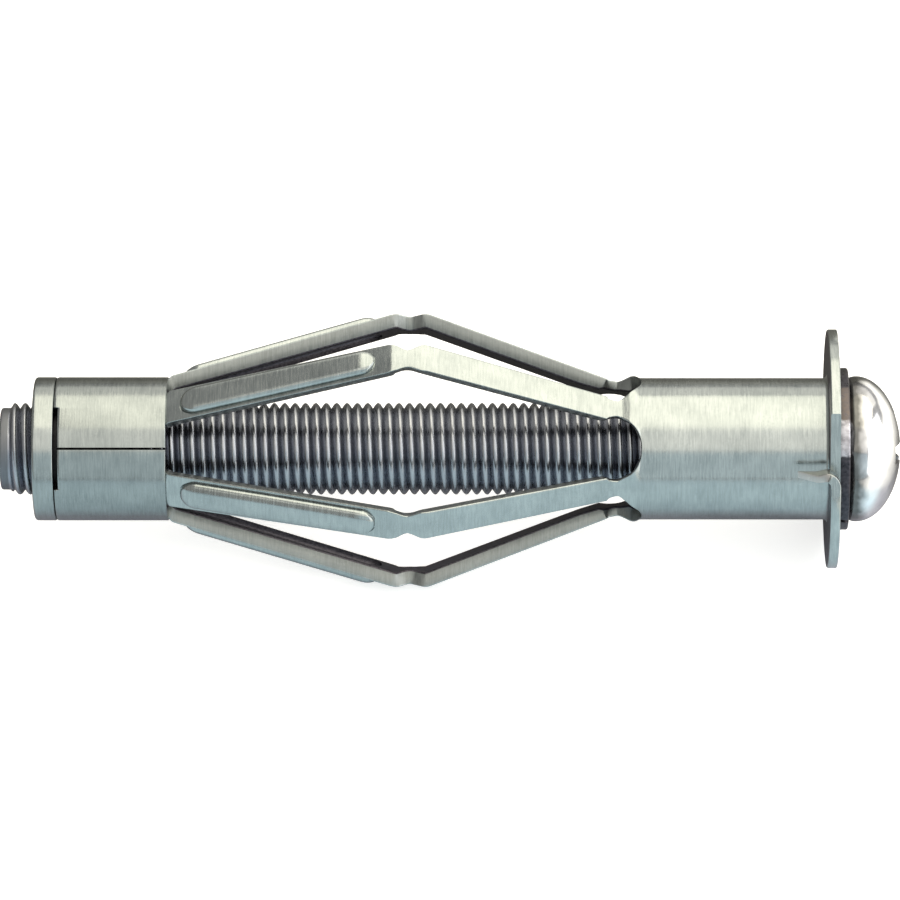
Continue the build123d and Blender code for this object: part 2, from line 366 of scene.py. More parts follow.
def arc_height(ends: tuple[tuple[float, float], ...], x: np.ndarray) -> np.ndarray:
    """Height over x of the circle through three points, on the middle point's side.

    Args:
        ends: The first point as (x, height), one between the two ends, and the last one.
        x: Where to evaluate the arc.

    Returns:
        The height at each x, held level beyond the two ends.
    """
    (x1, y1), (x2, y2), (x3, y3) = ends
    matrix = np.array([[x2 - x1, y2 - y1], [x3 - x1, y3 - y1]])
    right = 0.5 * np.array([x2**2 - x1**2 + y2**2 - y1**2, x3**2 - x1**2 + y3**2 - y1**2])
    centre = np.linalg.solve(matrix, right)
    radius = math.hypot(x1 - centre[0], y1 - centre[1])
    inside = np.clip(x, x1, x3) - centre[0]
    return centre[1] + np.sign(y2 - centre[1]) * np.sqrt(np.clip(radius**2 - inside**2, 0.0, None))


@dataclass(frozen=True)
class Layout:
    """Places that several pieces share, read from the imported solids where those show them."""

    screw_tip: float
    head_seat: float
    flange_front: float
    collar_rear: float
    nut_rear: float
    seam_turn: float = 39.0
    shank_radius: float = 6.17
    shank_bore: float = 4.97
    collar_radius: float = 6.25
    collar_bore: float = 5.05
    flange_radius: float = 10.41
    spur_width: float = 1.9
    head_height: float = 4.62

    @property
    def head_top(self) -> float:
        """Where the dome's top would be without its recess."""
        return self.head_seat + self.head_height

    @property
    def spur_base(self) -> float:
        """How far from the axis a spur begins."""
        return self.flange_radius - self.spur_width

    @classmethod
    def read(cls) -> Layout:
        """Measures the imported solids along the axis.

        Returns:
            The layout.
        """
        sleeve, nut, washer, screw = (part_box(role.node) for role in Role)
        places = (screw[0].x, washer[1].x, washer[0].x, sleeve[0].x, nut[0].x)
        return cls(*(place / MM for place in places))


@dataclass(frozen=True)
class Thread:
    """Thread form that the screw and its nut share."""

    radius: float = 4.0
    depth: float = 0.49
    pitch: float = 0.905
    crest: float = -17.21
    rows: int = 10
    sides: int = 64
    spare_turns: int = 2

    def add_to(
        self,
        surface: Surface,
        ends: tuple[float, float],
        end_radii: tuple[float, float],
        limits: tuple[float, float],
        fade: float,
    ) -> None:
        """Adds a helical surface whose rows follow the thread: x = row + pitch * angle / turn.

        Over one pitch the radius is the root radius plus depth * sin(pi * q), so that the crests are
        round and the roots are sharp. Rows beyond an end gather on that end's ring. The last column joins
        the first one a whole turn further on.

        Args:
            surface: Where the faces go.
            ends: Where the thread begins and where it ends.
            end_radii: Radius of the ring at each end.
            limits: Least and greatest radius that the surface may have.
            fade: Length over which the thread runs out at each end.
        """
        rows, (start, end) = self.rows, ends
        first = math.floor(((start - self.crest) / self.pitch - self.spare_turns) * rows)
        last = math.ceil(((end - self.crest) / self.pitch + self.spare_turns) * rows)
        place = np.arange(first, last + 1)[:, None] / rows
        turn = np.arange(self.sides) / self.sides
        x = np.clip(self.crest + self.pitch * (place - 0.5 + turn), start, end)
        radius = self.radius - self.depth + self.depth * np.sin(math.pi * np.mod(place, 1.0))
        radius = np.clip(radius, *limits) + np.zeros_like(x)
        radius = end_radii[0] + (radius - end_radii[0]) * smooth_step(x, start, start + fade)
        radius = end_radii[1] + (radius - end_radii[1]) * smooth_step(-x, -end, -end + fade)
        index = surface.add_grid(on_rings(x, radius, 2 * math.pi * turn))
        surface.add_quads(index[: -rows - 1, -1], index[1:-rows, -1], index[rows + 1 :, 0], index[rows:-1, 0])


@dataclass(frozen=True)
class Shade:
    """A linear colour."""

    red: float
    green: float
    blue: float

    @property
    def rgba(self) -> tuple[float, float, float, float]:
        """The colour with full cover."""
        return (self.red, self.green, self.blue, 1.0)


@dataclass(frozen=True)
class Grain:
    """A noise: its features for each millimetre along the axis and across it, and its finer layers."""

    along: float
    across: float
    detail: float = 3.0
    roughness: float = 0.5


class Wiring:
    """The nodes of a material or world, with short ways to add and join them."""

    def __init__(self, owner: bpy.types.Material | bpy.types.World) -> None:
        """Empties the owner's nodes and adds texture coordinates.

        Args:
            owner: The material or world.
        """
        owner.use_nodes = True
        self.tree = owner.node_tree
        self.tree.nodes.clear()
        self.coordinates = self.add("TexCoord", {}).outputs

    def add(self, kind: str, sockets: dict[str | int, object], **settings: object) -> bpy.types.Node:
        """Adds a node.

        Args:
            kind: Its type, without the leading ShaderNode.
            sockets: For each input the output that feeds it, or the colour or value that it holds.
            settings: Its properties.

        Returns:
            The node.
        """
        node = self.tree.nodes.new("ShaderNode" + kind)
        for name, value in settings.items():
            setattr(node, name, value)
        for name, given in sockets.items():
            if isinstance(given, Socket):
                self.tree.links.new(given, node.inputs[name])
            else:
                node.inputs[name].default_value = given.rgba if isinstance(given, Shade) else given
        return node

    def compute(self, operation: str, *given: object) -> Socket:
        """Result of a Math node."""
        return self.add("Math", dict(enumerate(given)), operation=operation).outputs[0]

    def ranged(
        self, given: Socket, start: float, end: float, low: float = 0.0, high: float = 1.0
    ) -> Socket:
        """Spreads an output from start..end to low..high."""
        sockets = {"Value": given, "From Min": start, "From Max": end, "To Min": low, "To Max": high}
        return self.add("MapRange", sockets).outputs["Result"]

    def span(self, noise: Socket, low: float, high: float) -> Socket:
        """Spreads a noise, which seldom leaves 0.3..0.7, to low..high."""
        return self.ranged(noise, 0.3, 0.7, low, high)

    def stretched(self, along: float, across: float) -> Socket:
        """Object coordinates in millimetres, scaled along the axis and across it."""
        sockets = {"Vector": self.coordinates["Object"], "Scale": (along / MM, across / MM, across / MM)}
        return self.add("Mapping", sockets).outputs["Vector"]

    def place(self) -> bpy.types.bpy_prop_collection:
        """Object coordinates in millimetres, as the three outputs X, Y and Z."""
        return self.add("SeparateXYZ", {"Vector": self.stretched(1.0, 1.0)}).outputs

    def noise(self, grain: Grain) -> Socket:
        """Noise over Object coordinates."""
        layers = {"Scale": 1.0, "Detail": grain.detail, "Roughness": grain.roughness}
        return self.add("TexNoise", layers | {"Vector": self.stretched(grain.along, grain.across)}).outputs[0]

    def ramp(self, given: Socket, *stops: tuple[float, Shade]) -> Socket:
        """Turns an output into colours.

        Args:
            given: The output.
            stops: Places between 0 and 1, with their colours.

        Returns:
            The colour.
        """
        node = self.add("ValToRGB", {"Fac": given})
        first, *between, last = stops
        for element, (place, shade) in zip(node.color_ramp.elements, (first, last)):
            element.position, element.color = place, shade.rgba
        for place, shade in between:
            node.color_ramp.elements.new(place).color = shade.rgba
        return node.outputs["Color"]

    def mix(self, share: Socket, first: object, second: object) -> Socket:
        """Mixes two colours by a share."""
        return self.add("Mix", {0: share, 6: first, 7: second}, data_type="RGBA").outputs[2]

    def bump(self, given: Socket, strength: float, depth: float, **under: object) -> Socket:
        """Normals of a surface that an output raises by a depth in millimetres, over an earlier Normal."""
        sockets = {"Height": given, "Strength": strength, "Distance": depth * MM, **under}
        return self.add("Bump", sockets).outputs["Normal"]


@dataclass(frozen=True)
class Finish:
    """A metal finish, whose material has its name."""

    name: str

    def sockets(self, wiring: Wiring) -> dict[str, object]:
        """What the shader's sockets hold, apart from Metallic."""
        raise NotImplementedError

    @cache
    def material(self) -> bpy.types.Material:
        """The finish as a material, which is made once.

        Returns:
            The material.
        """
        made = bpy.data.materials.new(self.name)
        wiring = Wiring(made)
        shader = wiring.add("BsdfPrincipled", {"Metallic": 1.0, **self.sockets(wiring)})
        wiring.add("OutputMaterial", {"Surface": shader.outputs["BSDF"]})
        return made


@dataclass(frozen=True)
class BrushedZinc(Finish):
    """Satin zinc plate whose brush marks run round the axis."""

    light: Shade = Shade(0.40, 0.435, 0.43)
    dark: Shade = Shade(0.26, 0.29, 0.29)
    roughness: tuple[float, float] = (0.15, 0.26)
    streaks: Grain = Grain(7.0, 0.625, 3.0, 0.6)
    clouds: Grain = Grain(0.35, 0.45)
    grain: Grain = Grain(6.0, 5.0, 2.0)

    def sockets(self, wiring: Wiring) -> dict[str, object]:
        """Fine streaks in colour, roughness and height, and soft clouds in the plate.

        Args:
            wiring: The material's nodes.

        Returns:
            What the shader's sockets hold.
        """
        streaks, clouds, grain = (wiring.noise(given) for given in (self.streaks, self.clouds, self.grain))
        streaky = wiring.ramp(streaks, (0.3, self.dark), (0.7, self.light))
        cloudy = wiring.ramp(clouds, (0.35, self.dark), (0.65, self.light))
        share = wiring.compute("ADD", wiring.span(grain, 0.25, 0.75), 0.15)
        return {
            "Base Color": wiring.mix(share, cloudy, streaky),
            "Roughness": wiring.span(streaks, *self.roughness),
            "Normal": wiring.bump(grain, 0.4, 0.004, Normal=wiring.bump(streaks, 0.6, 0.008)),
        }


@dataclass(frozen=True)
class DullZincPaintedShade(Finish):
    """Unbrushed plate, made much darker as painted shade, on the sides that point inwards, lie in hollows or
    lie on the wall.
    """

    light: Shade = Shade(0.12, 0.113, 0.13)
    dark: Shade = Shade(0.05, 0.048, 0.057)
    roughness: tuple[float, float] = (0.32, 0.5)
    speckle: Grain = Grain(4.0, 4.0, 3.0, 0.6)

    def sockets(self, wiring: Wiring) -> dict[str, object]:
        """A speckle in colour, roughness and height.

        Args:
            wiring: The material's nodes.

        Returns:
            What the shader's sockets hold.
        """
        speckle = wiring.noise(self.speckle)
        return {
            "Base Color": wiring.ramp(speckle, (0.3, self.dark), (0.7, self.light)),
            "Roughness": wiring.span(speckle, *self.roughness),
            "Normal": wiring.bump(speckle, 0.5, 0.01),
        }


@dataclass(frozen=True)
class DarkSteel(Finish):
    """Polished steel that has gone blue-grey, as on the thread: darker in its roots, lighter on its crests.
    """

    crest: Shade = Shade(0.36, 0.375, 0.40)
    flank: Shade = Shade(0.25, 0.263, 0.295)
    root: Shade = Shade(0.26, 0.274, 0.31)
    veil: Shade = Shade(0.225, 0.235, 0.26)
    roughness: tuple[float, float] = (0.2, 0.36)
    radii: tuple[float, float] = (3.5, 4.0)
    clouds: Grain = Grain(0.9, 0.5)
    marks: Grain = Grain(14.0, 0.8, 2.0)

    def sockets(self, wiring: Wiring) -> dict[str, object]:
        """A colour that follows the distance from the axis, with soft clouds and rolling marks.

        Args:
            wiring: The material's nodes.

        Returns:
            What the shader's sockets hold.
        """
        clouds, marks = wiring.noise(self.clouds), wiring.noise(self.marks)
        length = wiring.add("VectorMath", {0: wiring.stretched(0.0, 1.0)}, operation="LENGTH")
        depth = wiring.ranged(length.outputs["Value"], *self.radii)
        clean = wiring.ramp(depth, (0.1, self.root), (0.6, self.flank), (0.95, self.crest))
        dim = wiring.ramp(depth, (0.1, self.root), (0.95, self.veil))
        return {
            "Base Color": wiring.mix(wiring.span(clouds, 0.45, 0.0), clean, dim),
            "Roughness": wiring.span(marks, *self.roughness),
            "Normal": wiring.bump(marks, 0.4, 0.004),
        }


@dataclass(frozen=True)
class BrightHead(Finish):
    """Bright plated steel of the domed head, with painted shade round its rim beside the washer."""

    # Painted shade round the rim beside the washer, lighter where noise frays its border.
    rim: Shade = Shade(0.08, 0.082, 0.08)
    rim_shade_light: Shade = Shade(0.20, 0.20, 0.195)
    rim_end: tuple[float, float] = (2.5, 3.5)
    rim_sway: float = 1.2
    light: Shade = Shade(0.76, 0.77, 0.78)
    dark: Shade = Shade(0.56, 0.57, 0.60)
    roughness: tuple[float, float] = (0.1, 0.2)
    clouds: Grain = Grain(0.35, 0.35)
    waves: Grain = Grain(0.3, 0.3, 1.5)
    fray: Grain = Grain(0.8, 0.6, 2.0)

    def sockets(self, wiring: Wiring) -> dict[str, object]:
        """A surface that waves a little, with a few darker clouds and a rim of painted shade whose border is
        frayed by noise.

        Args:
            wiring: The material's nodes.

        Returns:
            What the shader's sockets hold.
        """
        clouds, waves, fray = (wiring.noise(given) for given in (self.clouds, self.waves, self.fray))
        colour = wiring.ramp(clouds, (0.35, self.dark), (0.6, self.light))
        # Painted shade of the rim.
        painted_shade = wiring.ramp(fray, (0.3, self.rim), (0.8, self.rim_shade_light))
        moved = wiring.compute("MULTIPLY_ADD", fray, self.rim_sway, wiring.place()["X"])
        past_rim = wiring.ranged(moved, *(end + self.rim_sway / 2 for end in self.rim_end))
        return {
            "Base Color": wiring.mix(past_rim, painted_shade, colour),
            "Roughness": wiring.span(clouds, *self.roughness),
            "Normal": wiring.bump(waves, 0.6, 0.25),
        }


@dataclass(frozen=True)
class OiledSteel(Finish):
    """Charcoal spring steel with a brown painted reflection and a silver painted highlight."""

    dark: Shade = Shade(0.03, 0.03, 0.036)
    mid: Shade = Shade(0.075, 0.072, 0.085)
    warm_reflection: Shade = Shade(0.135, 0.115, 0.105)
    painted_highlight: Shade = Shade(0.50, 0.50, 0.55)
    roughness: tuple[float, float] = (0.25, 0.45)
    grain: Grain = Grain(3.0, 3.0)
    fray: Grain = Grain(0.8, 0.9)
    fray_reach: float = 0.05
    border: float = 0.01

    def sockets(self, wiring: Wiring) -> dict[str, object]:
        """A dark colour with a brown patch of painted reflection and a bright patch of painted highlight,
        whose borders are frayed by noise.

        Args:
            wiring: The material's nodes.

        Returns:
            What the shader's sockets hold.
        """
        grain, fray = wiring.noise(self.grain), wiring.noise(self.fray)
        base = wiring.ramp(grain, (0.3, self.dark), (0.7, self.mid))
        warm_reflected = wiring.ramp(grain, (0.2, self.mid), (0.7, self.warm_reflection))
        highlighted = wiring.ramp(fray, (0.35, self.mid), (0.6, self.painted_highlight))
        # Painted reflection in brown and painted highlight in silver, each at a fixed turn round the washer.
        reflected = wiring.mix(self.patch(wiring, fray, 8.0, 0.975), base, warm_reflected)
        return {
            "Base Color": wiring.mix(self.patch(wiring, fray, 31.0, 0.998), reflected, highlighted),
            "Roughness": wiring.span(grain, *self.roughness),
            "Normal": wiring.bump(grain, 0.4, 0.01),
        }

    def patch(self, wiring: Wiring, fray: Socket, degrees: float, edge: float) -> Socket:
        """Share of a patch of painted reflection or highlight round the washer: 1 where the direction from
        the axis is near an angle.

        Args:
            wiring: The material's nodes.
            fray: Noise that moves the patch's border.
            degrees: Turn of the patch's middle, about +X from straight up.
            edge: Cosine of the angle from there to the border, which the noise moves outwards.

        Returns:
            The share.
        """
        angle = math.radians(degrees)
        outward = wiring.add("VectorMath", {0: wiring.stretched(0.0, 1.0)}, operation="NORMALIZE").outputs[0]
        ahead = (0.0, -math.sin(angle), math.cos(angle))
        near = wiring.add("VectorMath", {0: outward, 1: ahead}, operation="DOT_PRODUCT")
        moved = wiring.compute("MULTIPLY_ADD", fray, self.fray_reach, near.outputs["Value"])
        return wiring.ranged(moved, edge, edge + self.border)


SLEEVE_ZINC = BrushedZinc("sleeve_zinc")
CUT_EDGE = BrushedZinc("sleeve_edge", Shade(0.31, 0.33, 0.32), Shade(0.20, 0.215, 0.21), (0.28, 0.4))
# Painted shade of the collar's bore and seam and of the nut's hub inside the collar.
SHADOWED, SHADOWED_DEEP = Shade(0.03, 0.03, 0.032), Shade(0.012, 0.012, 0.013)
# Painted shade of the screw's point: darker copies of the thread's steel.
POINT_SHADE, POINT_SHADE_DEEP = Shade(0.12, 0.126, 0.14), Shade(0.075, 0.08, 0.092)


@dataclass
class Piece:
    """One object of the anchor, with what it stands for and its finishes in the order of their numbers."""

    layout: Layout
    role: Role
    finishes: tuple[Finish, ...]

    def paint(self, made: bpy.types.Object) -> None:
        """Gives an object the piece's finishes, without touching the choice of each face."""
        for finish in self.finishes:
            made.data.materials.append(finish.material())

    def closed(self, surface: Surface, name: str, sharp: float = CRISP) -> bpy.types.Object:
        """Turns a surface into a painted object.

        Args:
            surface: The surface.
            name: Name of the object.
            sharp: An edge between faces that turn by more than these degrees stays crisp.

        Returns:
            The object.
        """
        made = surface.make(name, sharp)
        self.paint(made)
        return made

    def make(self) -> bpy.types.Object:
        """Builds the piece's mesh."""
        raise NotImplementedError

    def build(self) -> bpy.types.Object:
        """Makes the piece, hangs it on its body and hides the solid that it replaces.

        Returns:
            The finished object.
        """
        made = self.make()
        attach(made, self.role.body)
        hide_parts(self.role.node)
        return made


@dataclass
class SleeveShell(Piece):
    """Flange, shank and five arms as one folded sheet.

    The sheet is five equal strips. Each strip is a grid whose rows follow the side view of an arm and
    whose columns cross it. On the shank the strips are wide enough to touch and are curved to the tube.
    On the arms they are narrow and flat, and their cut sides slant inwards.
    """

    role: Role = Role.SLEEVE
    finishes: tuple[Finish, ...] = (SLEEVE_ZINC, DullZincPaintedShade("sleeve_inside_painted_shade"), CUT_EDGE)
    sharp: float = 35.0
    sheet: float = 1.2
    arms: int = 5
    arm_turn: float = 2.9835
    collar_front: float = -57.3
    knee_rear: float = -37.5
    knee_front: float = -34.9
    hinge: float = -19.2
    root_low: float = -17.95
    root_top: float = -16.8
    slot_front: float = -16.15
    bulge: float = 5.94
    hinge_dip: float = 0.12
    root_dip: float = 0.28
    arm_recess: float = 0.15
    bend_radius: float = 0.3
    waist_radius: float = 1.5
    hinge_radius: float = 1.2
    root_radius_low: float = 1.8
    root_radius_top: float = 2.6
    collar_bend: float = 0.5
    collar_width: float = 3.5
    rear_width: float = 3.08
    front_width: float = 2.86
    front_end_width: float = 2.5
    knee_waist: float = 1.9
    knee_waist_at: float = -36.35
    knee_notch_rear: float = 1.6
    knee_notch_front: float = 1.5
    knee_dip: float = 0.14
    hinge_waist: float = 1.76
    hinge_notch: float = 0.2
    root_width: float = 3.3
    row_margin: float = 0.3
    side_shifts: tuple[float, ...] = (0.9, 0.6, 0.6, 0.6, 0.3)
    hinge_thinning: float = 0.4
    hinge_thin_span: tuple[float, float] = (0.5, 1.5)
    side_slant: float = 22.0
    slot_radius: float = 3.05
    slot_least: float = 0.005
    slot_opening: float = 0.5
    slot_from: float = 0.6
    flat_from: float = -17.1
    round_from: float = -16.2
    bead_start: float = 1.46
    bead_length: float = 17.72
    bead_half: float = 1.25
    bead_end: float = 1.5
    bead_height: float = 0.67
    bead_power: float = 3.2
    bead_share: float = 0.88
    bead_end_rows: int = 11
    groove_width: float = 0.16
    groove_share: float = 0.2
    groove_depth: float = 0.07
    groove_fade: float = 0.2
    groove_columns: tuple[float, ...] = (0.5, 1.0)
    land_columns: tuple[float, ...] = (0.4, 0.7, 1.0)
    edge_rounding: float = 0.13
    edge_hold: float = 0.1
    flange_edge: float = 0.12
    root_radius: float = 0.35
    mouth_radius: float = 1.2
    tube_row: float = -15.6
    shank_rows: tuple[float, ...] = (-14.0, -8.0, -2.0, -0.6)
    face_rings: tuple[float, ...] = (7.0, 8.5, 10.1)
    cheek_rings: tuple[float, ...] = (10.1, 8.5, 7.0, 6.4)
    bore_rows: tuple[float, ...] = (-0.8, -2.0, -8.0, -14.0)
    wall_from: float = 0.2
    wall_level: float = 0.02
    spur_turns: tuple[float, ...] = (52.8, 232.8)
    notch_sides: tuple[float, float] = (-1.0, 5.6)
    notch_rise: float = 0.46
    notch_reach: tuple[float, float] = (2.0, 4.0)
    bead_columns: int = 7
    edge_columns: int = 4

    def middle_line(self) -> BentLine:
        """Side view of an arm along the middle of its sheet.

        Returns:
            The line.
        """
        half = self.sheet / 2
        low = self.layout.collar_radius - self.arm_recess - half
        high = self.layout.shank_radius + self.bulge - half
        tube = self.layout.shank_radius - half
        corners = [
            (self.collar_front - half, low),
            (self.collar_front, low),
            (self.knee_rear, high),
            (self.knee_waist_at, high - self.knee_dip),
            (self.knee_front, high),
            (self.hinge, tube - self.hinge_dip),
            (self.root_low, tube - self.root_dip),
            (self.root_top, tube),
            (self.tube_row, tube),
        ]
        tight = self.bend_radius + half
        roots = [self.hinge_radius, self.root_radius_low, self.root_radius_top]
        return BentLine.through(corners, [tight, tight, self.waist_radius, tight, *roots])

    def knee_ends(self, margin: float = 0.0) -> tuple[float, float]:
        """Where the knee's waist begins and ends, and a margin beyond."""
        rear, front = self.knee_notch_rear + margin, self.knee_notch_front + margin
        return self.knee_waist_at - rear, self.knee_waist_at + front

    def half_width(self, x: np.ndarray) -> np.ndarray:
        """Half the width of an arm over x: tapering runs, a soft waist at the knee, an arc in at the root.

        Args:
            x: Places along the axis.

        Returns:
            An array like x.
        """
        rear, front, end = self.rear_width / 2, self.front_width / 2, self.front_end_width / 2
        knee_start, knee_end = self.knee_ends()
        hinge_start, waist = self.hinge - self.hinge_notch, self.knee_waist / 2
        behind = rear + (waist - rear) * smooth_step(x, knee_start, self.knee_waist_at)
        before = waist + (front - waist) * smooth_step(x, self.knee_waist_at, knee_end)
        knee = np.where(x < self.knee_waist_at, behind, before)
        narrowest, root = (self.root_low, self.hinge_waist / 2), (self.root_top, self.root_width / 2)
        runs = [self.collar_front, knee_start, knee_end, hinge_start]
        plain = np.interp(x, runs, [self.collar_width / 2, rear, front, end])
        width = np.where((x > knee_start) & (x < knee_end), knee, plain)
        return np.where(x > hinge_start, arc_height(((hinge_start, end), narrowest, root), x), width)

    def slot_half(self, x: np.ndarray) -> np.ndarray:
        """Half the width of a slot's round end over x: sqrt(R^2 - (x - centre)^2).

        Args:
            x: Places along the axis.

        Returns:
            An array like x.
        """
        centre = self.slot_front - self.slot_radius
        inside = self.slot_radius**2 - np.clip(x - centre, 0.0, self.slot_radius) ** 2
        return np.sqrt(np.where(inside < self.slot_least, 0.0, inside))

    def strip_half(self, x: np.ndarray) -> np.ndarray:
        """Half the width of a strip over x, measured on the sheet: the arm, or what the slot's end leaves.

        Args:
            x: Places along the axis.

        Returns:
            An array like x.
        """
        radius, arm = self.layout.shank_radius, self.half_width(x)
        left = radius * (math.pi / self.arms - np.arcsin(np.clip(self.slot_half(x) / radius, 0.0, 1.0)))
        return np.where(x > self.hinge + self.slot_from, np.maximum(left, arm), arm)

    def lengths(self, line: BentLine) -> np.ndarray:
        """Lengths along the middle line that have a row: closer where the outline or the bend turns.

        Args:
            line: The middle line.

        Returns:
            The lengths in order.
        """
        knee_start, knee_end = self.knee_ends(self.row_margin)
        hinge_start = self.hinge - self.hinge_notch - self.row_margin
        bend_start, bend_end = self.collar_front - 0.2, self.collar_front + 0.4
        round_start = self.round_from + 0.1
        # Each step is where it begins, where it ends and its number of rows.
        steps = [
            (self.collar_front - self.sheet / 2, bend_start, 2),
            (bend_start, bend_end, 9),
            (bend_end, knee_start, 16),
            (knee_start, knee_end, 48),
            (knee_end, hinge_start, 10),
            (hinge_start, round_start, 60),
            (round_start, self.tube_row, 4),
        ]
        x = np.concatenate([np.linspace(*step) for step in steps])
        swing = np.radians(np.linspace(0.0, 60.0, 14))
        slot_end = self.slot_front - self.slot_radius * (1.0 - np.cos(swing))
        rows = np.concatenate([line.length_at(x), line.length_at(slot_end), self.bead_rows(line)])
        return np.unique(np.round(rows, 4))

    def bead_span(self, line: BentLine) -> tuple[float, float]:
        """First and last length along the middle line that the bead covers."""
        start = float(line.length_at(self.collar_front)) + self.bead_start
        return start, start + self.bead_length

    def bead_rows(self, line: BentLine) -> np.ndarray:
        """Rows that follow the bead's ends evenly, inside and beyond each tip: tip +- end * (1 - cos a).

        Args:
            line: The middle line.

        Returns:
            The lengths along the line.
        """
        start, end = self.bead_span(line)
        reach = self.bead_end * (1.0 - np.cos(np.radians(np.linspace(0.0, 90.0, self.bead_end_rows))))
        beyond = reach[reach < 0.9 * self.bead_end]
        return np.concatenate([start + reach, start - beyond, end - reach, end + beyond])

    def bead_place(self, line: BentLine, length: np.ndarray) -> np.ndarray:
        """How far a row is into the bead's ends: 0 on its straight part, 1 at its tips, 2 well beyond them.

        Args:
            line: The middle line.
            length: Length along it of each row.

        Returns:
            An array like length.
        """
        start, end = self.bead_span(line)
        beyond = np.maximum(start + self.bead_end - length, length - (end - self.bead_end))
        return np.clip(beyond / self.bead_end, 0.0, 2.0)

    def bead_outline(self, place: np.ndarray, inner: np.ndarray) -> np.ndarray:
        """Half the width that the bead's columns take: b * sqrt(1 - p^2), and its mirror image past a tip.

        Args:
            place: How far each row is into the bead's ends.
            inner: Half the width of the strip inside its rounded edges.

        Returns:
            An array like inner.
        """
        folded = np.where(place > 1.0, 2.0 - place, place)
        width = self.bead_half * np.sqrt(np.clip(1.0 - folded**2, 0.0, None))
        return np.minimum(width, self.bead_share * inner)

    def bead_rise(self, place: np.ndarray, share: np.ndarray) -> np.ndarray:
        """Height of the bead: h * sqrt(1 - p^2) * (1 - s^n)^(1/n), with s the share of its half width.

        Args:
            place: How far each row is into the bead's ends.
            share: Place across, as a share of the bead's half width, for each column.

        Returns:
            Rows by columns.
        """
        along = np.sqrt(np.clip(1.0 - place**2, 0.0, None))
        across = np.clip(1.0 - np.abs(share) ** self.bead_power, 0.0, None) ** (1.0 / self.bead_power)
        return self.bead_height * along[:, None] * across[None, :]

    def across(self, x: np.ndarray, place: np.ndarray) -> tuple[np.ndarray, np.ndarray, np.ndarray]:
        """Place of each column across the strip, its depth at the rounded edge, and its share of the bead.

        Args:
            x: Place along the axis of each row.
            place: How far each row is into the bead's ends.

        Returns:
            The places across and the depths, rows by columns, and the shares, one for each column.
        """
        half = self.strip_half(x)[:, None]
        opened = smooth_step(self.slot_half(x), 0.0, self.slot_opening)[:, None]
        opened = np.where(x[:, None] > self.hinge, opened, 1.0)
        rounding = self.edge_rounding * opened
        inner = half - rounding - self.edge_hold * opened
        bead = self.bead_outline(place[:, None], inner)
        over = np.sin(np.radians(np.linspace(0.0, 90.0, self.bead_columns))) ** (2.0 / self.bead_power)
        land, groove = inner - bead, np.array(self.groove_columns) * self.groove_width
        groove, beside = bead + np.minimum(groove, self.groove_share * land), bead + land * self.land_columns
        inside = np.concatenate([bead * over, groove, beside], axis=1)
        swing = np.radians(np.linspace(0.0, 90.0, self.edge_columns))
        right = np.concatenate([inside, half - rounding * (1.0 - np.sin(swing))], axis=1)
        level, fade = np.zeros_like(inside), self.groove_fade
        level[:, len(over)] = self.groove_depth * np.clip(1.0 - place, 0.0, fade) / fade
        depth = np.concatenate([level, rounding * (1.0 - np.cos(swing))], axis=1)
        shares = np.concatenate([over, np.ones(right.shape[1] - len(over))])
        return mirrored(right, -1.0), mirrored(depth, 1.0), mirrored(shares, -1.0)

    def sheet_rows(self, line: BentLine, length: np.ndarray, outer: bool) -> np.ndarray:
        """One side of a strip that points straight up.

        With curvature k and t = k * across, a point at a depth d under the outer face is moved sideways
        by sin(t) * (1/k - d), and along the outward direction by -(1 - cos(t)) / k - d * cos(t). Where
        the strip is flat, its sides slant inwards by d * tan(slant).

        Args:
            line: The middle line.
            length: Length along it of each row.
            outer: Whether this is the outer side.

        Returns:
            Rows by columns by 3.
        """
        x, z, heading = line.at(length)
        place = self.bead_place(line, length)
        across, sunk, shares = self.across(x, place)
        half = across[:, -1:]
        tube = smooth_step(x, self.flat_from, self.round_from)
        roundness = tube + smooth_step(-x, -self.collar_front - self.collar_bend, -self.collar_front)
        curve = roundness[:, None] / self.layout.shank_radius
        neck = np.abs((self.hinge + self.root_low) / 2 - x)
        thin = self.hinge_thinning * (1.0 - smooth_step(neck, *self.hinge_thin_span))[:, None]
        plain = sunk if outer else self.sheet - thin - sunk
        slant = np.clip(math.radians(self.side_slant) - curve * half, 0.0, None) * (1.0 - tube[:, None])
        across = across * (1.0 - plain * np.tan(slant) / half)
        depth = plain - self.bead_rise(place, shares) * (place < 1.0)[:, None]
        turn = curve * across
        sideways = across * np.sinc(turn / math.pi) - depth * np.sin(turn)
        drop = across * (turn / 2) * np.sinc(turn / (2 * math.pi)) ** 2
        outward = self.sheet / 2 - drop - depth * np.cos(turn)
        x = x[:, None] - outward * np.sin(heading)[:, None]
        z = z[:, None] + outward * np.cos(heading)[:, None]
        return np.stack([x, sideways, z], axis=-1)

    def shift(self, x: np.ndarray, most: float) -> np.ndarray:
        """How far an arm leans to its side over x, in straight runs that are furthest out at the knee."""
        places = [self.collar_front, self.knee_rear, self.knee_front, self.hinge]
        return np.interp(x, places, [0.0, most, most, 0.0])

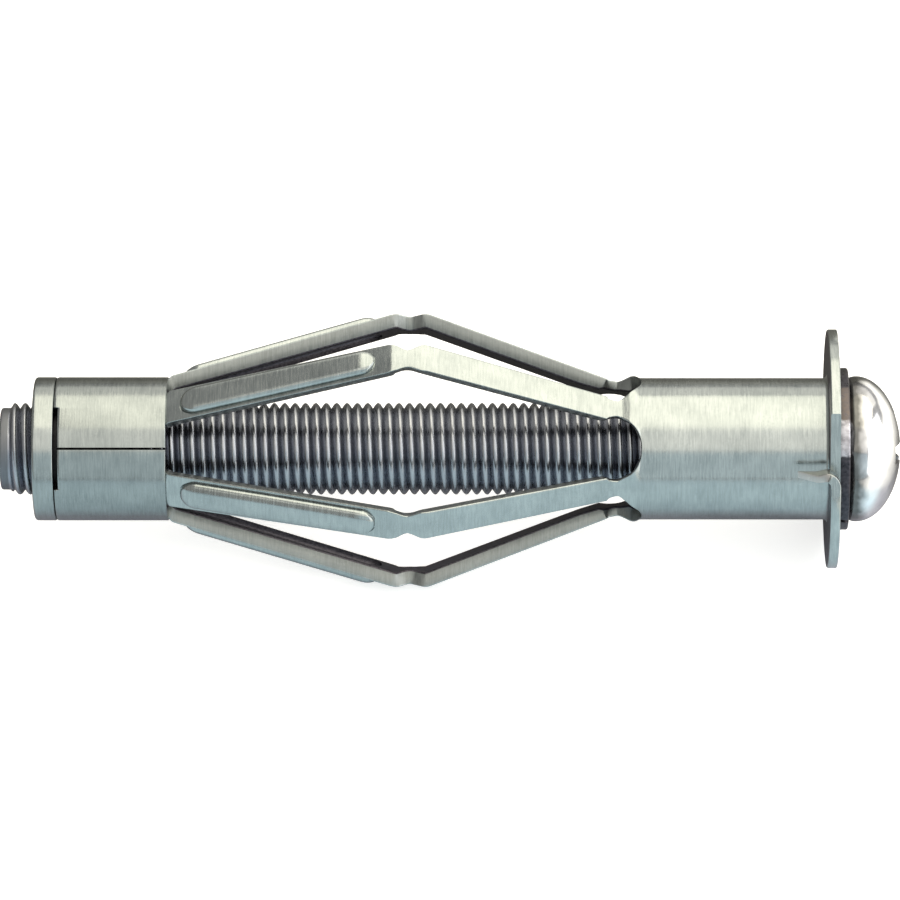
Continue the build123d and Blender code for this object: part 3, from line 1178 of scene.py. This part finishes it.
    def flange_profile(self) -> np.ndarray:
        """Section (x, r) from the shank's outside, round the flange, to the shank's bore.

        Returns:
            Rows of (x, r), of which the last ones are the bore's.
        """
        front, rim = self.layout.flange_front, self.layout.flange_radius
        shank, bore = self.layout.shank_radius, self.layout.shank_bore
        outside = run([*self.shank_rows], shank)
        root = rounded((0.0, shank), self.root_radius, -90, 0, 7)
        face = run(0.0, [*self.face_rings])
        rim_back = rounded((0.0, rim), self.flange_edge, 180, 90, 4)
        rim_front = rounded((front, rim), self.flange_edge, 90, 0, 4)
        cheek = run(front, [*self.cheek_rings])
        mouth = rounded((front, bore), self.mouth_radius, 0, -90, 10)
        inside = run([*self.bore_rows], bore)
        return np.concatenate([outside, root, face, rim_back, rim_front, cheek, mouth, inside])

    def wall_side(self, rows: np.ndarray) -> np.ndarray:
        """Whether each row starts a face of the flange that lies on the wall.

        Args:
            rows: Rows by columns by 3.

        Returns:
            One truth value for each row.
        """
        radius = np.hypot(rows[:, 0, 1], rows[:, 0, 2])
        beyond_shank = radius > self.layout.shank_radius + self.wall_from
        within_rim = radius < self.layout.flange_radius - self.flange_edge
        return (np.abs(rows[:, 0, 0]) < self.wall_level) & beyond_shank & within_rim

    def make(self) -> bpy.types.Object:
        """Builds the five strips, joins them where they touch, and cuts the notches beside the spurs.

        Returns:
            The shell.
        """
        line = self.middle_line()
        length = self.lengths(line)
        x, _, _ = line.at(length)
        across, _, _ = self.across(x[-1:], self.bead_place(line, length[-1:]))
        outer, inner = (self.sheet_rows(line, length, outside) for outside in (True, False))
        middle = turned(self.flange_profile(), -across[0] / self.layout.shank_radius)
        strip = np.concatenate([outer, middle, inner[::-1]])
        # Painted shade: the flange's wall side, the bore and the arms' insides take the second finish.
        painted_shade = self.wall_side(strip)
        painted_shade[len(outer) + len(middle) - len(self.bore_rows) : -1] = True
        shut = (self.slot_half(x) == 0.0) & (x > self.hinge)
        walled = x <= x[shut][0]
        surface = Surface()
        for number, most in enumerate(self.side_shifts):
            lean = self.shift(x, most)
            lean = np.concatenate([lean, np.zeros(len(middle)), lean[::-1]])
            leaning = strip + lean[:, None, None] * np.array([0.0, 1.0, 0.0])
            turn = self.arm_turn + 360.0 / self.arms * number
            index = surface.add_grid(about_axis(leaning, turn), ring_rows=True, coat=painted_shade)
            for column in (0, -1):
                near, far = (side[: len(x), column][walled] for side in (index, index[::-1]))
                surface.add_quads(near[:-1], near[1:], far[1:], far[:-1], Coat.CUT)
        shell = self.closed(surface, "sleeve_shell", self.sharp)
        for turn in self.spur_turns:
            cut_away(shell, self.notch(turn), self.sharp)
        return shell

    def notch(self, turn: float) -> bpy.types.Object:
        """Block that cuts the segment from which a spur is bent out of the flange's rim.

        Args:
            turn: The spur's turn in degrees.

        Returns:
            The block.
        """
        (low, high), (side, tall) = self.notch_sides, self.notch_reach
        corners = np.array([[-side, low], [side, low], [side, high], [-side, high]])
        floor = self.layout.spur_base + self.notch_rise * np.array([0.0, 0.0, 1.0, 1.0])
        faces = (np.column_stack([corners, height]) for height in (floor, floor + tall))
        return block("notch", *(about_axis(face, turn) for face in faces))


@dataclass
class Spur(Piece):
    """Prong bent out of the flange's rim towards the wall, tapering to its tip."""

    role: Role = Role.SLEEVE
    finishes: tuple[Finish, ...] = (
        SLEEVE_ZINC,
        # Paler copy of the zinc: painted light on some sides and the tip of the spur.
        BrushedZinc("spur_zinc_painted_light", Shade(0.55, 0.54, 0.52), Shade(0.40, 0.39, 0.375), (0.42, 0.58)),
        CUT_EDGE,
    )
    name: str = "spur"
    turn: float = 0.0
    length: float = 2.8
    tip_width: float = 0.4
    thickness: float = 0.68
    thin_from: float = -1.0
    bend_radius: float = 1.0
    flange_run: float = 1.12
    inset: float = 0.02
    cut_from: float = 0.1
    inner_narrowing: float = 0.65
    corner: float = 0.07
    twist: float = 16.0
    painted_light_columns: tuple[int, ...] = (4, 5, 6, 10, 11)

    def make(self) -> bpy.types.Object:
        """Carries a rounded rectangle along a bent line: thickness across the line, width along the radius.

        Returns:
            The spur.
        """
        front, rim, base = self.layout.flange_front, self.layout.flange_radius, self.layout.spur_base
        bend = [(front / 2, -self.flange_run), (front / 2, 0.0), (-self.length, 0.0)]
        line = BentLine.through(bend, [self.bend_radius])
        rows = np.unique(np.concatenate([line.length, np.linspace(0.0, line.length[-1], 24)]))
        x, y, heading = (given[:, None] for given in line.at(rows))
        thick = np.interp(x, [self.thin_from, front / 2], [self.thickness, front - self.inset]) / 2
        top = np.interp(x, [-self.length, 0.0], [base + self.tip_width, rim])
        tall = np.minimum(top, np.sqrt(rim**2 - y**2) - self.inset / 2) - base
        sides, heights = self.section(thick, tall)
        free = smooth_step(-x, 0.0, 0.5 * self.length)
        sides = sides * (1.0 - self.inner_narrowing * free * (1.0 - heights / tall))
        cos, sin = (turn(math.radians(self.twist) * free) for turn in (np.cos, np.sin))
        sides, heights = sides * cos + heights * sin, heights * cos - sides * sin
        points = np.stack([x - sides * np.sin(heading), y + sides * np.cos(heading), base + heights], axis=-1)
        # Painted light: some sides of the section take the second finish, and so does the tip's cap below.
        coat = np.full(sides.shape, Coat.CUT)
        coat[:, list(self.painted_light_columns)] = Coat.SECOND
        coat[x[:, 0] > -self.cut_from] = Coat.MAIN
        surface = Surface()
        index = surface.add_grid(about_axis(points, self.turn), ring_columns=True, coat=coat)
        surface.add_caps(Coat.MAIN, index[0])
        surface.add_caps(Coat.SECOND, index[-1])
        return self.closed(surface, self.name, 50.0)

    def section(self, out: np.ndarray, tall: np.ndarray) -> tuple[np.ndarray, np.ndarray]:
        """Rounded rectangle for each row.

        Args:
            out: Half the thickness of each row.
            tall: Height of each row.

        Returns:
            Sideways places and heights, both rows by points round the section.
        """
        corner, inset = self.corner, self.corner * (1.0 - math.sqrt(0.5))
        left = [-out + corner, -out + inset, -out, -out, -out + inset, -out + corner]
        right = [out - corner, out - inset, out, out, out - inset, out - corner]
        flat = np.zeros_like(tall)
        rising = [flat, flat + inset, flat + corner, tall - corner, tall - inset, tall]
        return np.concatenate(left + right, axis=1), np.concatenate(rising + rising[::-1], axis=1)


@dataclass
class Collar(Piece):
    """Rear ring of the sleeve, with its seam and the shallow notch beside it."""

    role: Role = Role.SLEEVE
    finishes: tuple[Finish, ...] = (
        # The collar's zinc is a darker copy of the sleeve's, as painted shade.
        BrushedZinc("collar_zinc_shaded", Shade(0.325, 0.355, 0.35), Shade(0.21, 0.235, 0.235)),
        DullZincPaintedShade("collar_inside_painted_shade", SHADOWED, SHADOWED_DEEP),
    )
    front: float = -57.3
    seam_gap: float = 0.2
    seam_floor: float = 0.03
    notch_angle: float = 70.0
    notch_depth: float = 0.35
    notch_step: float = 0.35
    notch_fade: tuple[float, float] = (0.25, 0.6)
    rear_rounding: float = 0.25
    front_rounding: float = 0.12
    rear_hold: float = 0.6
    front_hold: float = 0.4
    bore_hold: float = 0.5

    def profile(self) -> np.ndarray:
        """Closed section (x, r) of the ring.

        Returns:
            Rows of (x, r).
        """
        rear, front = self.layout.collar_rear, self.front
        bore, radius = self.layout.collar_bore, self.layout.collar_radius
        rear_edge = rounded((rear, radius), self.rear_rounding, 180, 90, 6)
        front_edge = rounded((front, radius), self.front_rounding, 90, 0, 4)
        hold = run([rear + self.rear_hold, front - self.front_hold], radius)
        inside = run([front, front - self.bore_hold, rear + self.rear_hold, rear], bore)
        return np.concatenate([rear_edge, hold, front_edge, inside])

    def make(self) -> bpy.types.Object:
        """Turns the section from one side of the seam to the other and sinks its rear end in the notch.

        Returns:
            The collar.
        """
        half_gap = math.degrees(self.seam_gap / 2 / self.layout.collar_radius)
        middle, step = self.notch_angle / 2, self.notch_step
        spans = [(3.0, middle - 1.5, 8), (middle - step, middle + step, 5), (middle + 3.0, 180.0, 30)]
        turns = np.concatenate([[half_gap, half_gap + 0.6], *(np.linspace(*span) for span in spans)])
        turns = np.concatenate([turns, 360.0 - turns[-2::-1]])
        points = self.closing(np.radians(self.layout.seam_turn + turns))
        away = np.minimum(turns, 360.0 - turns)
        sunk = self.notch_depth * (1.0 - smooth_step(away, middle - step, middle + step))
        low, high = (self.layout.collar_rear + end for end in self.notch_fade)
        points[..., 0] += (1.0 - smooth_step(points[..., 0], low, high)) * sunk
        # Painted shade: the bore and the seam's faces take the second finish.
        in_bore = self.profile()[:, 1] < self.layout.collar_bore + 0.01
        surface = Surface()
        index = surface.add_grid(points, ring_rows=True, coat=in_bore & np.roll(in_bore, -1))
        surface.add_caps(Coat.SECOND, index[:, 0], index[:, -1])
        return self.closed(surface, "sleeve_collar")

    def closing(self, angles: np.ndarray) -> np.ndarray:
        """Grid of the ring whose seam narrows inwards: its end columns turn by gap * (R - r) / (R - b).

        Args:
            angles: Turn in radians of each column.

        Returns:
            Rows by columns by 3.
        """
        profile, radius = self.profile(), self.layout.collar_radius
        depth = (radius - profile[:, 1]) / (radius - self.layout.collar_bore)
        turn = (self.seam_gap - self.seam_floor) / 2 / radius * np.clip(depth, 0.0, 1.0)
        spread = np.tile(angles, (len(profile), 1))
        spread[:, 0] -= turn
        spread[:, -1] += turn
        return turned(profile, spread)


@dataclass
class Nut(Piece):
    """End ring and threaded hub that the screw pulls on."""

    role: Role = Role.NUT
    finishes: tuple[Finish, ...] = (
        BrushedZinc("nut_zinc", Shade(0.35, 0.38, 0.375), Shade(0.225, 0.25, 0.25)),
        DullZincPaintedShade("hub_painted_shade", SHADOWED, SHADOWED_DEEP),
    )
    thread: Thread = Thread()
    ring_rear_rounding: float = 0.25
    ring_front_rounding: float = 0.12
    hub_radius: float = 5.0
    hub_length: float = 7.9
    hub_chamfer: float = 0.1
    mouth_radius: float = 4.2
    face_ring: float = 0.3
    holds: tuple[float, float] = (0.6, 0.5)
    clearance: float = 0.06
    crest_radius: float = 3.66
    run_out: float = 0.5

    def make(self) -> bpy.types.Object:
        """Turned outside, and a helical bore between its two mouths.

        Returns:
            The nut.
        """
        rear, seat, radius = self.layout.nut_rear, self.layout.collar_rear, self.layout.collar_radius
        front, mouth = seat + self.hub_length, self.mouth_radius
        hub, chamfer = self.hub_radius, self.hub_chamfer
        face = run(rear, [mouth, mouth + self.face_ring])
        rear_edge = rounded((rear, radius), self.ring_rear_rounding, 180, 90, 7)
        hold = run([rear + self.holds[0], seat - self.holds[1]], radius)
        front_edge = rounded((seat, radius), self.ring_front_rounding, 90, 0, 4)
        inside = run([seat, front - chamfer, front, front], [hub, hub, hub - chamfer, mouth])
        outside = np.concatenate([face, rear_edge, hold, front_edge, inside])
        surface = Surface()
        # Painted shade: the hub's faces inside the collar take the second finish.
        shaded_hub = outside[:, 0] > seat - 0.001
        surface.add_grid(turned(outside, self.thread.sides), ring_columns=True, coat=shaded_hub)
        cut = replace(self.thread, radius=self.thread.radius + self.clearance)
        cut.add_to(surface, (rear, front), (mouth, mouth), (self.crest_radius, cut.radius), self.run_out)
        return self.closed(surface, "nut_body")


@dataclass
class LockWasher(Piece):
    """Split washer, drawn flat, with a slanting gap."""

    role: Role = Role.WASHER
    finishes: tuple[Finish, ...] = (OiledSteel("washer_dark"),)
    bore: float = 4.2
    radius: float = 7.05
    rounding: float = 0.18
    inner_rounding: float = 0.12
    gap: float = 0.5
    slant: float = 20.0
    gap_turn: float = 102.0
    columns: int = 120

    def make(self) -> bpy.types.Object:
        """Turns a rounded rectangle from one side of the gap to the other, sheared by x * tan(slant).

        Returns:
            The washer.
        """
        rear, front = self.layout.flange_front, self.layout.head_seat
        big, small = self.rounding, self.inner_rounding
        edges = [
            ((rear, self.radius), small, 180, 90, 4),
            ((front, self.radius), big, 90, 0, 6),
            ((front, self.bore), small, 0, -90, 4),
            ((rear, self.bore), small, 270, 180, 4),
        ]
        section = np.concatenate([rounded(*edge) for edge in edges])
        half_gap = math.degrees(self.gap / 2 / self.radius)
        turns = np.radians(self.gap_turn + np.linspace(half_gap, 360.0 - half_gap, self.columns))
        shear = math.tan(math.radians(self.slant)) * (section[:, 0] - (rear + front) / 2) / section[:, 1]
        surface = Surface()
        index = surface.add_grid(turned(section, turns + shear[:, None]), ring_rows=True)
        surface.add_caps(Coat.MAIN, index[:, 0], index[:, -1])
        return self.closed(surface, "washer_ring")


@dataclass
class ScrewThread(Piece):
    """Shank of the machine screw: plain point, then thread up to the head."""

    role: Role = Role.SCREW
    finishes: tuple[Finish, ...] = (
        DarkSteel("thread_steel"),
        # The point's finish is painted shade: a darker copy of the thread's steel.
        DarkSteel("point_steel_shaded", Shade(0.17, 0.18, 0.195), POINT_SHADE, POINT_SHADE_DEEP, POINT_SHADE, (0.42, 0.55), (1.0, 3.2)),
    )
    thread: Thread = Thread()
    tip_length: float = 0.75
    tip_inset: float = 0.43
    tip_rounding: float = 0.2
    neck_radius: float = 3.9
    neck_sunk: float = 0.3
    run_out: float = 0.35

    def make(self) -> bpy.types.Object:
        """Turned point with the second finish, helical thread, and a neck that ends inside the head.

        Returns:
            The threaded shank.
        """
        tip, neck = self.layout.screw_tip, self.layout.head_seat - self.neck_sunk
        point, start = self.thread.radius - self.tip_inset, tip + self.tip_length
        edge = rounded((tip, point), self.tip_rounding, 180, 90, 6)
        front = np.concatenate([run(tip, [0.0, point * 0.5]), edge, run([start - 0.1, start], point)])
        inside = neck + 2 * self.neck_sunk
        back = run([neck, inside, inside], [self.neck_radius, self.neck_radius, 0.0])
        surface = Surface()
        surface.add_grid(turned(front, self.thread.sides), ring_columns=True, coat=front[:, 0] < start)
        surface.add_grid(turned(back, self.thread.sides), ring_columns=True)
        radii = (point, self.neck_radius)
        self.thread.add_to(surface, (start, neck), radii, (0.0, self.thread.radius), self.run_out)
        return self.closed(surface, "screw_thread", 60.0)


@dataclass
class ScrewHead(Piece):
    """Domed head with its cross recess."""

    role: Role = Role.SCREW
    finishes: tuple[Finish, ...] = (
        BrightHead("head_steel"),
        # The recess's finish is painted shade, darker than the head.
        DullZincPaintedShade("recess_painted_shade", Shade(0.30, 0.30, 0.31), Shade(0.16, 0.16, 0.17)),
    )
    sharp: float = 35.0
    radius: float = 6.33
    seat_radius: float = 4.5
    edge_height: float = 0.72
    edge_inset: float = 0.3
    recess_wing: float = 1.65
    recess_span: float = 7.2
    recess_depth: float = 3.0
    recess_taper: float = 8.0
    recess_tip_span: float = 3.6
    recess_turn: float = 50.0
    recess_beyond: float = 1.5
    sides: int = 96

    def make(self) -> bpy.types.Object:
        """Turned dome, half an ellipse in section, with two crossing wings cut into it.

        Returns:
            The head.
        """
        seat, top = self.layout.head_seat, self.layout.head_top
        widest = seat + self.edge_height
        swing = np.radians(np.linspace(0.0, 90.0, 9))
        edge_radius = self.radius - self.edge_inset * (1.0 - np.sin(swing))
        edge = np.stack([widest - self.edge_height * np.cos(swing), edge_radius], axis=1)
        rise = np.radians(np.linspace(0.0, 90.0, 40))[1:]
        dome = np.stack([widest + (top - widest) * np.sin(rise), self.radius * np.cos(rise)], axis=1)
        dome[-1, 1] = 0.0
        profile = np.concatenate([run(seat, [0.0, self.seat_radius]), edge, dome])
        surface = Surface()
        surface.add_grid(turned(profile, self.sides), ring_columns=True)
        head = self.closed(surface, "screw_head", self.sharp)
        for turn in (self.recess_turn, self.recess_turn + 90.0):
            cut_away(head, self.wing(turn), self.sharp)
        return head

    def wing(self, turn: float) -> bpy.types.Object:
        """One tapering wing of the recess, as a block to cut away, whose faces carry the recess's painted
        shade.

        Args:
            turn: The wing's turn in degrees.

        Returns:
            The block.
        """
        mouth, depth, beyond = self.layout.head_top, self.recess_depth, self.recess_beyond
        narrow = self.recess_wing - math.tan(math.radians(self.recess_taper)) * depth
        share = beyond / depth
        span = self.recess_span + (self.recess_span - self.recess_tip_span) * share
        wide = self.recess_wing + (self.recess_wing - narrow) * share
        ends = ((mouth - depth, self.recess_tip_span, narrow), (mouth + beyond, span, wide))
        # Painted shade: the block's faces become the recess's walls with the second finish.
        made = block("wing", *(about_axis(self.rectangle(*end), turn) for end in ends), Coat.SECOND)
        self.paint(made)
        return made

    @staticmethod
    def rectangle(x: float, span: float, wing: float) -> np.ndarray:
        """Four corners of a rectangle across the axis at x."""
        corners = np.array([[-span, -wing], [span, -wing], [span, wing], [-span, wing]]) / 2
        return np.column_stack([np.full(4, x), corners])


def aim(made: bpy.types.Object, axes: tuple[Vector, Vector, Vector], place: Vector) -> None:
    """Puts a lamp or the camera at a place in millimetres, its own x, y and z along three directions."""
    made.matrix_world = Matrix.Translation(place * MM) @ Matrix(axes).transposed().to_4x4()


@dataclass(frozen=True)
class Lamp:
    """A soft lamp: its elevation is counted from the camera's side over the top, its turn towards +X."""

    name: str
    elevation: float
    turn: float
    distance: float
    offset: float
    width: float
    height: float
    radiance: float
    shade: Shade

    def hang(self, middle: float) -> None:
        """Adds the lamp, a rectangle that faces the anchor's axis.

        Args:
            middle: Place along the axis that it faces, before its offset.
        """
        data = bpy.data.lights.new(self.name, "AREA")
        data.shape = "RECTANGLE"
        data.size, data.size_y = self.width * MM, self.height * MM
        data.energy = self.radiance * math.pi * data.size * data.size_y
        data.color = self.shade.rgba[:3]
        up, side = math.radians(self.elevation), math.radians(self.turn)
        outward = Vector((math.sin(side), -math.cos(up) * math.cos(side), math.sin(up) * math.cos(side)))
        right = Vector((math.cos(side), math.cos(up) * math.sin(side), -math.sin(up) * math.sin(side)))
        place = right * (middle + self.offset) + outward * self.distance
        aim(linked(self.name, data), (right, outward.cross(right), outward), place)


@dataclass
class Studio:
    """Pale floor, soft lights and the camera."""

    elevation: float = 51.0
    distance: float = 610.0
    lens: float = 280.0
    sensor: float = 36.0
    clip: tuple[float, float] = (0.05, 10.0)
    view_x: float = -32.8
    camera_shift_x: float = 8.0
    view_down: float = 0.109
    floor_size: float = 4000.0
    floor_gap: float = 0.02
    floor_tone: Shade = Shade(0.78, 0.78, 0.78)
    floor_glow: float = 0.6
    floor_in_metal: float = 0.05
    floor_stops: tuple[tuple[float, Shade], ...] = (
        (-11.0, Shade(0.58, 0.73, 0.85)),
        (-5.5, Shade(0.42, 0.43, 0.50)),
        (6.0, Shade(0.08, 0.08, 0.08)),
        (55.0, Shade(0.10, 0.10, 0.09)),
        (110.0, Shade(0.22, 0.22, 0.21)),
    )
    floor_right: Shade = Shade(0.95, 0.95, 0.95)
    floor_right_from: tuple[float, float] = (13.0, 28.0)
    world_shade: Shade = Shade(1.0, 0.97, 0.92)
    world_sides: tuple[float, float] = (0.5, 0.6)
    world_span: tuple[float, float] = (-0.7, 0.7)
    lamps: tuple[Lamp, ...] = (
        Lamp("overhead", 115.0, 0.0, 420.0, 190.0, 660.0, 505.0, 2.25, Shade(1.0, 0.925, 0.76)),
        Lamp("behind", 158.0, 0.0, 420.0, 150.0, 660.0, 178.0, 0.85, Shade(1.0, 0.94, 0.82)),
        Lamp("front_high", 65.5, 0.0, 800.0, 120.0, 1100.0, 535.0, 1.2, Shade(1.0, 0.945, 0.85)),
        Lamp("front_low", 24.0, 0.0, 800.0, 120.0, 1100.0, 646.0, 0.57, Shade(0.66, 0.9, 1.0)),
        Lamp("right_side", 45.0, 75.0, 550.0, 0.0, 700.0, 800.0, 1.8, Shade(1.0, 0.99, 0.97)),
    )

    def floor(self) -> None:
        """Pale floor that the anchor lies on."""
        low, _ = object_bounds()
        mesh = bpy.data.meshes.new("floor")
        half = self.floor_size / 2 * MM
        corners = [(-half, -half), (half, -half), (half, half), (-half, half)]
        points = [(x, y, low.z - self.floor_gap * MM) for x, y in corners]
        mesh.from_pydata(points, [], [(0, 1, 2, 3)])
        mesh.materials.append(self.floor_material())
        linked("floor", mesh)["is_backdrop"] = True

    def floor_material(self) -> bpy.types.Material:
        """Matt floor: white with a soft shadow to the camera, and graded from front to back in the metal.

        Returns:
            The material.
        """
        material = bpy.data.materials.new("pale_floor")
        wiring = Wiring(material)
        path = wiring.add("LightPath", {}).outputs
        seen = path["Is Camera Ray"]
        mirrored_ray = wiring.compute("MAXIMUM", path["Is Glossy Ray"], path["Is Transmission Ray"])
        in_metal = wiring.compute("MULTIPLY", mirrored_ray, self.floor_in_metal)
        graded = self.lit(wiring, self.graded(wiring), in_metal)
        plain = self.lit(wiring, self.floor_tone, wiring.compute("MULTIPLY", seen, self.floor_glow))
        chosen = wiring.add("MixShader", {0: seen, 1: graded, 2: plain})
        wiring.add("OutputMaterial", {"Surface": chosen.outputs[0]})
        return material

    def graded(self, wiring: Wiring) -> Socket:
        """The floor's colour over y, as the stops give it, which turns pale beyond the head.

        Args:
            wiring: The material's nodes.

        Returns:
            The colour.
        """
        first, last = self.floor_stops[0][0], self.floor_stops[-1][0]
        stops = [((y - first) / (last - first), shade) for y, shade in self.floor_stops]
        place = wiring.place()
        colour = wiring.ramp(wiring.ranged(place["Y"], first, last), *stops)
        return wiring.mix(wiring.ranged(place["X"], *self.floor_right_from), colour, self.floor_right)

    @staticmethod
    def lit(wiring: Wiring, colour: object, strength: Socket) -> Socket:
        """A matt surface that also glows.

        Args:
            wiring: The material's nodes.
            colour: The surface's colour.
            strength: Strength of the glow.

        Returns:
            The shader's output.
        """
        diffuse = wiring.add("BsdfDiffuse", {"Color": colour}).outputs[0]
        glow = wiring.add("Emission", {"Strength": strength}).outputs[0]
        return wiring.add("AddShader", {0: diffuse, 1: glow}).outputs[0]

    def world(self) -> None:
        """Plain grey surroundings that get paler towards the head's side."""
        world = bpy.data.worlds.new("surroundings")
        bpy.context.scene.world = world
        wiring = Wiring(world)
        parts = wiring.add("SeparateXYZ", {"Vector": wiring.coordinates["Generated"]})
        strength = wiring.ranged(parts.outputs["X"], *self.world_span, *self.world_sides)
        background = wiring.add("Background", {"Color": self.world_shade, "Strength": strength})
        wiring.add("OutputWorld", {"Surface": background.outputs[0]})

    def camera(self) -> None:
        """Long lens from above the front, turned so that the anchor's axis is level in the picture."""
        data = bpy.data.cameras.new("camera")
        data.lens, data.sensor_width = self.lens, self.sensor
        data.clip_start, data.clip_end = self.clip
        up, axis = math.radians(self.elevation), Vector((1.0, 0.0, 0.0))
        back = Vector((0.0, -math.cos(up), math.sin(up)))
        above = Vector((0.0, math.sin(up), math.cos(up)))
        middle = axis * self.view_x - above * self.view_down
        place = middle + back * self.distance + axis * self.camera_shift_x
        behind = (place - middle).normalized()
        upward = behind.cross(axis).normalized()
        camera = linked("camera", data)
        aim(camera, (upward.cross(behind), upward, behind), place)
        bpy.context.scene.camera = camera

    def make(self) -> None:
        """Sets up everything round the anchor."""
        self.floor()
        self.world()
        for lamp in self.lamps:
            lamp.hang(self.view_x)
        self.camera()
        bpy.context.scene.view_settings.view_transform = "Standard"


def corners(box: tuple[Vector, Vector]) -> list[list[float]]:
    """A box as plain lists of numbers."""
    return [list(box[0]), list(box[1])]


def main() -> None:
    """Builds every piece, then the studio."""
    logging.basicConfig(level=logging.INFO, format="%(message)s")
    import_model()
    layout = Layout.read()
    shell = SleeveShell(layout)
    named_turns = zip(("spur_near", "spur_far"), shell.spur_turns)
    spurs = [Spur(layout, name=name, turn=turn) for name, turn in named_turns]
    turned_pieces = [kind(layout) for kind in (Collar, Nut, LockWasher, ScrewThread, ScrewHead)]
    for piece in (shell, *spurs, *turned_pieces):
        made = piece.build()
        LOG.info("%s: %d faces", made.name, len(made.data.polygons))
    Studio().make()
    LOG.info("size file written")


if __name__ == "__main__":
    main()
